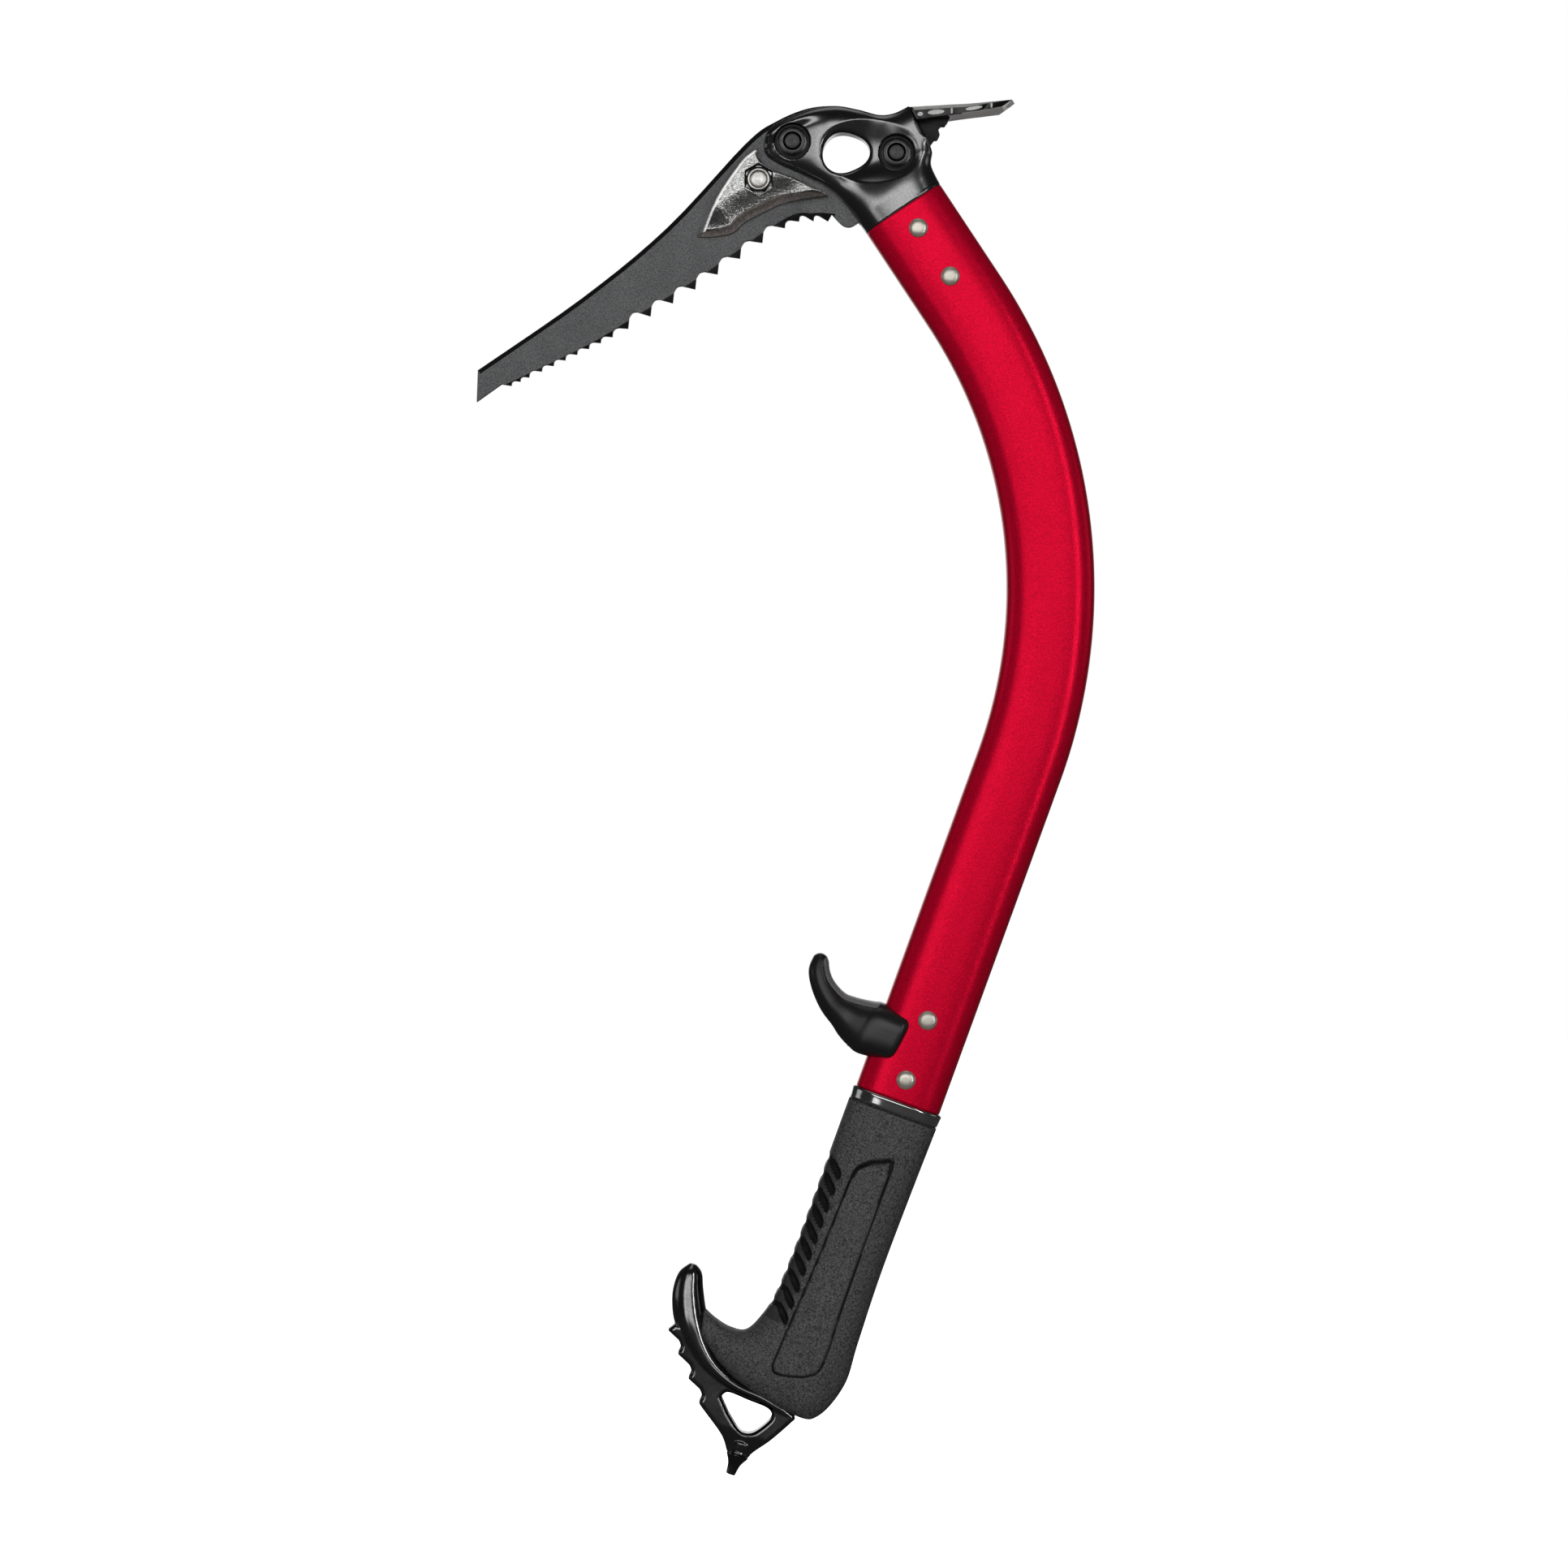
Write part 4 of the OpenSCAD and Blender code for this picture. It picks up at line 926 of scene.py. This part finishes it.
class IceToolBolts(bpy.types.Operator):
    """Turned bolts, washers and nuts of the pick, the adze and the weights"""

    bl_idname = "ice_tool.bolts"
    bl_label = "Bolts, washers and nuts"

    def execute(self, context):
        washer_rows = [(radius, BOLT_SEAT + height) for radius, height in WASHER_ROWS]
        for name, at in (("pick", PICK_BOLT), ("adze", ADZE_BOLT), ("weight", WEIGHT_BOLT)):
            bright = name == "weight"
            end_colour = (0.66, 0.65, 0.62) if bright else (0.06, 0.06, 0.06)
            nut_colour = (0.62, 0.61, 0.58) if bright else (0.075, 0.075, 0.075)
            self.piece(name + "_bolt", at, self.bolt_rows(), end_colour, name + "_bolt_set", False)
            self.piece(name + "_washer", at, washer_rows, (0.3, 0.3, 0.29), name + "_washer_set")
            nut = self.piece(name + "_nut", at, self.nut_rows(bright), nut_colour, TOOL,
                             extra=finish("black_edges") if bright else (),
                             roughness=0.26, pitch_mm=0.5)
            if bright:
                row = np.arange(len(nut.data.polygons)) // TURN_STEPS
                paint(nut, (row == 1) | (row == 2))
        return {"FINISHED"}

    @staticmethod
    def piece(name, at, rows, colour, body, looped=True, extra=(), **surface):
        """A turned piece with its finish and its body."""
        obj = turned_object(name + "_turned", rows, (at[0], 0, at[1]), looped=looped)
        finishes = [turned_finish(name + "_steel", colour, at, **surface), *extra]
        dress(obj, name, finishes, body, sharp=32)
        return obj

    @staticmethod
    def bolt_rows():
        """Profile of a bolt from its socket over its head and shank to its dished end."""
        socket = hexagon(4.0)
        top = BOLT_SEAT + 1.05 + 4.0
        rows = [(0.02, top - 2.4), (socket, top - 2.4), (socket, top - 0.15), (socket + 0.25, top),
                (4.5, top), (5.0, top - 0.5)]
        rows += [(5.0, BOLT_SEAT + 1.15), (4.9, BOLT_SEAT + 1.06), (3.0, BOLT_SEAT + 1.06)]
        end = [(3.0, 0.55), (2.62, 0.08), (2.5, 0.03), (1.2, 0.1), (0.02, 0.16)]
        return rows + [(radius, height - NUT_FACE) for radius, height in end]

    @staticmethod
    def nut_rows(bright):
        """Profile of a nut, round or with a chamfered hexagon."""
        outer = hexagon(8.8, math.pi / 6) if bright else 5.2
        rim = 3.95 if bright else 4.75
        chamfer = np.maximum(outer - rim, 0) * 0.6
        return [(3.05, -BOLT_SEAT), (outer, -BOLT_SEAT), (outer, chamfer - NUT_FACE),
                (np.minimum(outer, rim), -NUT_FACE), (3.45, -NUT_FACE), (3.35, 0.12 - NUT_FACE),
                (3.05, 0.7 - NUT_FACE)]


class IceToolRivets(bpy.types.Operator):
    """Domed rivets through the tube"""

    bl_idname = "ice_tool.rivets"
    bl_label = "Rivets"

    def execute(self, context):
        sizes = context.scene.ice_tool_sizes
        neck, collar, _ = tube_places(sizes)
        side = half_depth(sizes)
        shares = 1 - (1 - np.linspace(0.01, 1, 18)) ** 1.6
        rows = [(3.5 * k, side + 0.1 + 1.45 * (1 - k ** 3.4) ** 0.5) for k in shares]
        rows += [(3.5, side + 0.05), (2.0, side + 0.05)]
        rows += [(radius, -height) for radius, height in rows[::-1]]
        for node, place, heights in (("head_rivets", neck, (-9.4, -30.3)),
                                     ("handle_rivets", collar, (8.1, 31.0))):
            parts = [turned_object("rivet", rows, place.world([0, 0, z])) for z in heights]
            obj = joined(node + "_domed", parts)
            dress(obj, node, finish("nickel_rivet"), sharp=40)
        return {"FINISHED"}


# edges of the finger rest from its tip to the tube, measured from the tube's front and the collar
REST_INNER = [
    (-27.5, 40.55), (-26.5, 40.3), (-25.6, 39.75), (-24.7, 38.6), (-23.1, 35.5), (-20.3, 32.5),
    (-15.4, 29.9), (-11.4, 29.7), (-7.8, 30), (-4, 30.6), (-0.4, 31.2), (8.2, 30),
]
REST_OUTER = [
    (-28.3, 40.5), (-29.1, 40.2), (-29.9, 39.55), (-30.6, 38.2), (-30.6, 33.2), (-27.4, 27.4),
    (-22.2, 21.7), (-16.6, 17.6), (-12.6, 14.5), (-8, 12.3), (-3.4, 10.9), (6.2, 12),
]
REST_DEPTH = [1.0, 2.6, 3.8, 4.7, 5.6, 6.4, 7.6, 9]
REST_SQUARE = [2, 2, 2, 2.2, 2.3, 2.4, 2.4, 2.5, 2.6, 2.9, 3.4, 3.8]


class IceToolTrigger(bpy.types.Operator):
    """Moulded finger rest with its horn, saddle and screw"""

    bl_idname = "ice_tool.trigger"
    bl_label = "Finger rest"

    def execute(self, context):
        sizes = context.scene.ice_tool_sizes
        collar = tube_places(sizes)[1]
        front = -half_width(sizes)
        half = half_depth(sizes) + 2.2
        depth = REST_DEPTH + [half - inset for inset in (2.8, 1.6, 0.5, 0.02)]
        rings = pair_rings(REST_INNER, REST_OUTER, depth, REST_SQUARE, 14, 96)
        rings[:, :, 0] += front
        tail = []
        mid = rings[-1].mean(axis=0)
        for k in np.linspace(0.1, 1, 10):
            lost = 1 - (math.sqrt(1 - k * k) if k < 1 else 0.0)
            ring = mid + (rings[-1] - mid) * np.array([1, 1 - 0.2 * lost, 1 - 0.26 * lost])
            ring[:, 0] += 2.7 * k
            tail.append(ring)
        obj = ring_object("trigger_moulding", collar.world(np.concatenate([rings, tail])))
        screw_at = collar.world([front - 5.5, 0, 15.5])
        recess = turned_object("screw_recess", [(3.8, 0), (3.8, 30)], screw_at, -collar.x)
        remeshed(cut_away(obj, [recess]), voxel_mm=0.3, rounds=10)
        dress(obj, "trigger", finish("moulded_rest", "rest_edge"))
        middles = middles_of(obj.data) - collar.origin
        flat = np.stack([middles @ collar.x - front, middles @ collar.z], axis=1)
        near = line_distance(flat, spline(REST_INNER[3:-2], 14)) < 1.9
        # faces along the inner top edge take the lighter grey: painted light from above
        paint(obj, near & (flat[:, 0] < -0.2))
        socket = hexagon(3.2)
        rows = [(0.02, 0.8), (socket, 0.8), (socket, 2.6), (3.1, 2.7), (3.5, 2.4), (3.5, 0.05),
                (2.5, 0.05), (2.5, -16), (0.02, -16.5)]
        screw = turned_object("trigger_screw_turned", rows, screw_at, -collar.x)
        dress(screw, "trigger_screw", finish("dark_screw"), sharp=32)
        return {"FINISHED"}


# the handle's outlines are measured from the middle of the collar, along the lower straight
RAIL_INNER = [
    (-48.2, -81.4), (-45.4, -83.4), (-43.0, -88.6), (-40.2, -94), (-36.6, -100), (-32.4, -106),
    (-27, -111.2), (-18.5, -115), (-9, -116), (-1, -117.6), (4, -119.6),
]
RAIL_OUTER = [
    (-50.6, -81.6), (-53.2, -85.6), (-53.5, -91), (-52.0, -97), (-48.8, -103.4), (-42.6, -110.3),
    (-33.5, -116.4), (-22.5, -119.8), (-10.5, -120.8), (-2.5, -122.4), (2.8, -123.4),
]
RAIL_DEPTH = [2.8, 5.0, 5.8, 6.3, 6.8, 6.8, 6.6, 6.4, 6.2, 5.8, 4.8]
# growth over the tube and height
COLLAR_ROWS = [
    (-2.0, 3.0), (-2.0, 0.0), (0.1, 0.0), (0.5, -0.1), (0.9, -0.45), (1.1, -0.9), (1.02, -1.3),
    (0.95, -1.9), (0.88, -2.7), (0.8, -3.6), (0.72, -4.4), (0.5, -4.8), (-0.4, -5.0), (-3.0, -5.0),
]
BOSS_AT = (-10.6, 0, -141)
# radius and height
BOSS_ROWS = [
    (0.02, 0), (3.9, 0), (4.2, 0.3), (4.2, 0.9), (3.8, 1.2), (3.8, 1.4), (4.25, 1.7), (4.5, 3),
    (4.7, 4.4), (4.0, 5.4), (0.02, 6),
]
SPIKE_ROWS = [
    (0.02, -7.8), (1.45, -7.8), (1.68, -7.6), (1.95, -5.6), (2.25, -4.1), (2.65, -3.1), (3.2, -2.1),
    (3.75, -1.2), (4.0, -0.7), (4.0, -0.1), (2.5, -0.1), (2.5, 6), (0.02, 6),
]
LOWER_EYE = [
    (-23.4, -123.2), (-21.6, -120.7), (-14, -120.9), (-6.2, -121.3), (-3.8, -123.4), (-4.6, -126.4),
    (-7.9, -131.2), (-11.2, -132.6), (-14.2, -131.6), (-19, -127.8), (-22.8, -124.8),
]


class IceToolFrame(bpy.types.Operator):
    """Handle frame: collar ring, hooked pommel with its teeth and eye, and the spike"""

    bl_idname = "ice_tool.frame"
    bl_label = "Handle frame"

    def execute(self, context):
        sizes = context.scene.ice_tool_sizes
        collar = tube_places(sizes)[1]
        rings = [collar.level(tube_ring(sizes, grow, 128, 2.6), z) for grow, z in COLLAR_ROWS]
        ring = ring_object("collar_ring", rings, capped=False)
        dress(ring, None, finish("dark_collar"), sharp=60)
        rings = pair_rings(RAIL_INNER, RAIL_OUTER, RAIL_DEPTH, [2.1] * 11, 14, 64)
        rail = ring_object("rail", collar.world(rings))
        outline = self.web_outline()
        eye = spline(LOWER_EYE[-2:] + LOWER_EYE + LOWER_EYE[:2], 6)[12:-18]
        plate = plate_object("web", [outline, eye], -5.0, 5.0)
        remeshed(plate, voxel_mm=0.4, rounds=2)
        p = points_of(plate.data)
        outer, inner = (line_distance(p[:, [0, 2]], np.concatenate([loop, loop[:1]]))
                        for loop in (outline, eye))
        p[:, 1] *= (1 - edge_fall(outer, 1.5) / 1.5 * 0.4) * (0.78 + 0.22 * ease(-0.2, 1.1, inner))
        p[:, 1] *= 1 - 0.42 * ease(-132, -140, p[:, 2])
        set_points(plate.data, collar.world(p))
        boss_at = collar.world(BOSS_AT)
        boss = turned_object("boss", BOSS_ROWS, boss_at, collar.z)
        obj = joined("pommel_forging", [rail, plate, boss])
        remeshed(obj, voxel_mm=0.3, rounds=7)
        dress(obj, "handle_frame", finish("polished_frame"))
        spike = turned_object("spike_turned", SPIKE_ROWS, boss_at, collar.z)
        dress(spike, "spike", finish("ground_spike"), sharp=30)
        return {"FINISHED"}

    @staticmethod
    def web_outline():
        """Outline of the pommel's web, with three teeth and the neck of the boss."""
        out = [(-34, -104), (-48.0, -103.6)]
        for k in range(3):
            tooth = np.array([-50.1, -107]) + k * np.array([6.63, -7.07])
            out += [tooth, *(tooth + spline([(5.2, -2.2), (6.6, -4), (6.4, -6.2)], 4))]
        out.append((-30.2, -128.2))
        out += [*spline([(-28.6, -129.4), (-20.6, -134.7), (-17.3, -137.6), (-14.9, -141)], 4)]
        out += [*spline([(-6.5, -141), (-5.7, -138.6), (-0.7, -131.3), (4.7, -121.5)], 6)]
        return np.array(out + [(0, -118), (-14, -116), (-26, -112)])


GRIP_FRONT = [
    (-16.8, -5), (-16.8, -27), (-16.8, -59), (-17.6, -80), (-19.6, -90), (-23.2, -97.2),
    (-29, -98.4), (-35, -97.2), (-39.4, -95.4),
]
GRIP_BACK = [
    (16.8, -5), (16.2, -32), (15.9, -62), (16.7, -88), (17.3, -104), (12.4, -117.6), (4.2, -120.6),
    (-19.4, -116.2), (-36.6, -106.6),
]
GRIP_DEPTH = [11.3, 12, 12, 12, 12, 11.7, 10.8, 9.4, 7.6]
GRIP_PANEL = [
    (-7.0, -42), (-6.6, -31), (-5.6, -27.4), (-2.1, -24), (2, -22.1), (5.2, -20.9), (6.3, -23.4),
    (6.2, -32), (6.4, -74.8), (7, -98), (3.6, -104.4), (-6.4, -107.6), (-9.8, -106), (-9.8, -98),
    (-7.8, -62.6),
]


class IceToolGrip(bpy.types.Operator):
    """Rubber grip with slanted finger grooves and recessed side panels"""

    bl_idname = "ice_tool.grip"
    bl_label = "Grip"

    def execute(self, context):
        sizes = context.scene.ice_tool_sizes
        collar = tube_places(sizes)[1]
        rings = pair_rings(GRIP_FRONT, GRIP_BACK, GRIP_DEPTH, [3.0] + [2.6] * 8, 44, 360)
        rings = np.array([even_ring(ring, 288) for ring in rings])
        first, last = rings[0], rings[-1]
        lip = first * np.array([0.97, 0.965, 1])
        mid = last.mean(axis=0)
        tail = [mid + (last - mid) * s + np.array([-0.9, 0, 0.2]) * t
                for s, t in ((0.94, 0.6), (0.8, 1.0), (0.5, 1.1))]
        rings = np.concatenate([[lip, first + np.array([0, 0, -0.4])], rings[1:], tail])
        obj = ring_object("grip_moulding", rings)
        p = points_of(obj.data)
        edge = self.panel_edge(p)
        groove = self.groove_sink(sizes, p)
        sink = groove + self.panel_sink(sizes, p, edge)
        normals = vectors_of(obj.data.vertices, "normal")
        set_points(obj.data, collar.world(p - normals * sink[:, None]))
        finishes = finish("rubber_grip", "smooth_rubber", "groove_rubber")
        dress(obj, "grip", finishes)
        u, w = p[:, 0], p[:, 2]
        kind = np.zeros(len(p))
        kind[(u < -11.4) & (w < -27 - 0.9 * (u + 16)) & (w > -90)] = 1
        # painted shade: the grooves, the line round each side panel and a wide band under the
        # panel's top edge, where its deep wall is in shadow, take the darkest rubber
        panel_top_shadow = (w > -29 + 0.5 * u) & (np.abs(edge - 0.45) < 0.85)
        kind[(np.abs(edge) < 0.4) | (groove > 0.4) | panel_top_shadow] = 2
        paint(obj, [round(np.median(kind[list(face.vertices)])) for face in obj.data.polygons])
        return {"FINISHED"}

    @staticmethod
    def groove_sink(sizes, p):
        """Depth of the ten slanted grooves at each point."""
        u, w = p[:, 0], p[:, 2]
        sink = np.zeros(len(p))
        along = np.clip((u + 16.0) / 5.3, 0, 1.3)
        half = 1.8 - 0.35 * np.clip(along, 0, 1)
        end = 1 - ease(0.9, 1.12, along)
        depth = 0.3 + 0.7 * ease(0.0, 0.6, along)
        for k in range(10):
            middle = -28.3 - 6.2 * k - 4.7 * along
            across = np.abs(w - middle) * np.where(u > -16, 0.75, 1.0) / half
            shape = np.clip(1 - across ** 2, 0, 1) * end
            sink = np.maximum(sink, shape * sizes.groove_depth / MM * depth)
        return sink

    @staticmethod
    def panel_edge(p):
        """Distance inside the edge of the side panels, negative outside."""
        loop = spline(GRIP_PANEL + GRIP_PANEL[:1], 8)[:-1]
        q = p[:, [0, 2]]
        edge = line_distance(q, np.concatenate([loop, loop[:1]]))
        edge = np.where(inside(q, loop), edge, -edge)
        return np.where(np.abs(p[:, 1]) > 6, edge, -50.0)

    @staticmethod
    def panel_sink(sizes, p, edge):
        """Depth of the side panels and of the line round them at each point."""
        depth = sizes.panel_depth / MM * (0.3 + 0.7 * ease(-60, -22, p[:, 2]))
        reach = 0.4 + 2.2 * ease(-29, -24, p[:, 2])
        return depth * ease(-0.4, 1, edge / reach) + 0.6 * np.exp(-(edge / 0.42) ** 2)


FLOOR_DROP = 0.14  # below the spike, in metres
FLOOR_HALF = 6
SENSOR = 36.0
SIGHT = (-0.0224, -0.2289)  # X and Z of the camera
LIT_POINT = Vector((0.0, 0.0, -0.22))
# soft panels that metal sees round it: axis, start, end and strength
SOFT_PANELS = [
    ("Y", 0.84, 0.96, 1.0), ("X", 0.94, 0.985, 0.5), ("X", -0.94, -0.985, 0.5),
    ("Z", 0.92, 0.98, 0.6),
]


class IceToolStage(bpy.types.Operator):
    """Pale floor, soft studio light and the camera"""

    bl_idname = "ice_tool.stage"
    bl_label = "Stage"

    def execute(self, context):
        scene = context.scene
        studio = scene.ice_tool_studio
        scene.view_settings.view_transform = "Standard"
        self.camera(scene, studio)
        self.floor()
        self.world(scene)
        self.lamp("key_light", (-0.35, -1.6, 0.55), (1.0, 1.0), studio.key_power)
        self.lamp("strip_left", (-0.75, -1.7, -0.2), (0.45, 1.5), studio.strip_power * 1.1,
                  mirrored=True)
        self.lamp("strip_right", (1.05, -1.45, -0.2), (0.12, 1.5), studio.strip_power * 2.2,
                  mirrored=True)
        self.lamp("back_light", (0.35, 1.6, 0.55), (1.0, 1.0), studio.back_power)
        return {"FINISHED"}

    @staticmethod
    def camera(scene, studio):
        data = bpy.data.cameras.new("photo_camera")
        data.sensor_fit = "HORIZONTAL"
        data.sensor_width = SENSOR
        data.lens = SENSOR * studio.camera_distance / studio.frame_width
        data.clip_start = 0.01
        data.clip_end = 100.0
        cam = linked("photo_camera", data)
        cam.location = (SIGHT[0], -studio.camera_distance, SIGHT[1])
        cam.rotation_euler = (math.radians(90), 0, 0)
        scene.camera = cam

    @staticmethod
    def floor():
        """A pale floor that glows for the camera and stays dark in the metal."""
        r = FLOOR_HALF
        mesh = bpy.data.meshes.new("studio_floor")
        mesh.from_pydata([(-r, -r, 0), (r, -r, 0), (r, r, 0), (-r, r, 0)], [], [(0, 1, 2, 3)])
        floor = linked("studio_floor", mesh)
        floor.location.z = CAD_BOX[0].z - FLOOR_DROP
        material, tree, shader = node_tree("pale_floor")
        rays = add_node(tree, "LightPath").outputs
        tone = mixed(tree, rays["Is Glossy Ray"], (0.6, 0.6, 0.6, 1), (0.025, 0.025, 0.025, 1))
        fill(tree, shader, {"Roughness": 0.9, "Base Color": tone})
        away = distance(tree, add_node(tree, "TexCoord").outputs["Object"])
        fade = {"Value": away, "From Min": 0.3, "From Max": 1.6, "To Min": 0.62, "To Max": 1.0}
        pale = add_node(tree, "MapRange", fade, interpolation_type="SMOOTHSTEP").outputs["Result"]
        seen = worked(tree, "MULTIPLY", rays["Is Camera Ray"], pale)
        strength = worked(tree, "MULTIPLY_ADD", rays["Is Glossy Ray"], 0.015, seen)
        glow = add_node(tree, "Emission", {"Strength": strength})
        both = add_node(tree, "AddShader", {0: shader.outputs["BSDF"], 1: glow.outputs["Emission"]})
        fill(tree, tree.nodes["Material Output"], {"Surface": both.outputs["Shader"]})
        mesh.materials.append(material)

    def world(self, scene):
        """White to the camera, an even grey to matt surfaces and soft panels to metal."""
        world = bpy.data.worlds.new("studio_world")
        scene.world = world
        world.use_nodes = True
        tree = world.node_tree
        place = add_node(tree, "TexCoord").outputs["Generated"]
        axes = add_node(tree, "SeparateXYZ", {"Vector": place}).outputs
        front = self.zone(tree, axes["Y"], -0.90, -0.975, 1.9)
        level = worked(tree, "MULTIPLY", front, self.zone(tree, axes["Z"], -0.16, 0.10, 1.0))
        for axis, start, end, strength in SOFT_PANELS:
            level = worked(tree, "ADD", level, self.zone(tree, axes[axis], start, end, strength))
        level = worked(tree, "ADD", level, 0.03)
        rays = add_node(tree, "LightPath").outputs
        lit = mixed(tree, rays["Is Glossy Ray"], (0.145, 0.145, 0.145, 1), level)
        clear = worked(tree, "MAXIMUM", rays["Is Camera Ray"], rays["Is Transmission Ray"])
        seen = mixed(tree, clear, lit, (1, 1, 1, 1))
        fill(tree, tree.nodes["Background"], {"Color": seen, "Strength": 1.0})

    @staticmethod
    def zone(tree, source, start, end, strength):
        """A soft step from nothing to a strength along one axis of the surroundings."""
        step = {"Value": source, "From Min": start, "From Max": end, "To Max": strength}
        return add_node(tree, "MapRange", step, interpolation_type="SMOOTHSTEP").outputs["Result"]

    @staticmethod
    def lamp(name, at, size, power, mirrored=False):
        """A soft lamp turned to the tool, which metal sees only if it is mirrored."""
        data = bpy.data.lights.new(name, "AREA")
        data.shape = "RECTANGLE"
        data.size, data.size_y = size
        data.energy = power
        lamp = linked(name, data)
        lamp.location = at
        way = LIT_POINT - Vector(at)
        lamp.rotation_euler = way.to_track_quat("-Z", "Y").to_euler()
        lamp.visible_glossy = mirrored
        lamp.visible_camera = False


class IceToolPanel(bpy.types.Panel):
    """Pieces of the ice climbing tool"""

    bl_idname = "VIEW3D_PT_ice_tool"
    bl_label = "Ice Tool"
    bl_space_type = "VIEW_3D"
    bl_region_type = "UI"
    bl_category = "Ice Tool"

    def draw(self, context):
        for operator in PIECES:
            self.layout.operator(operator.bl_idname)


PIECES = (
    IceToolStage, IceToolShaft, IceToolHead, IceToolPick, IceToolAdze, IceToolWeights, IceToolBolts,
    IceToolRivets, IceToolTrigger, IceToolFrame, IceToolGrip,
)
CLASSES = (ToolSizes, ToolFinishes, StudioSettings, *PIECES, IceToolPanel)


def register():
    for one in CLASSES:
        bpy.utils.register_class(one)
    bpy.types.Scene.ice_tool_sizes = bpy.props.PointerProperty(type=ToolSizes)
    bpy.types.Scene.ice_tool_finishes = bpy.props.PointerProperty(type=ToolFinishes)
    bpy.types.Scene.ice_tool_studio = bpy.props.PointerProperty(type=StudioSettings)


def unregister():
    del bpy.types.Scene.ice_tool_studio
    del bpy.types.Scene.ice_tool_finishes
    del bpy.types.Scene.ice_tool_sizes
    for one in reversed(CLASSES):
        bpy.utils.unregister_class(one)


def main():
    register()
    bpy.ops.ice_tool.stage()
    bpy.ops.ice_tool.shaft()
    bpy.ops.ice_tool.head()
    bpy.ops.ice_tool.pick()
    bpy.ops.ice_tool.adze()
    bpy.ops.ice_tool.weights()
    bpy.ops.ice_tool.bolts()
    bpy.ops.ice_tool.rivets()
    bpy.ops.ice_tool.trigger()
    bpy.ops.ice_tool.frame()
    bpy.ops.ice_tool.grip()


if __name__ == "__main__":
    main()
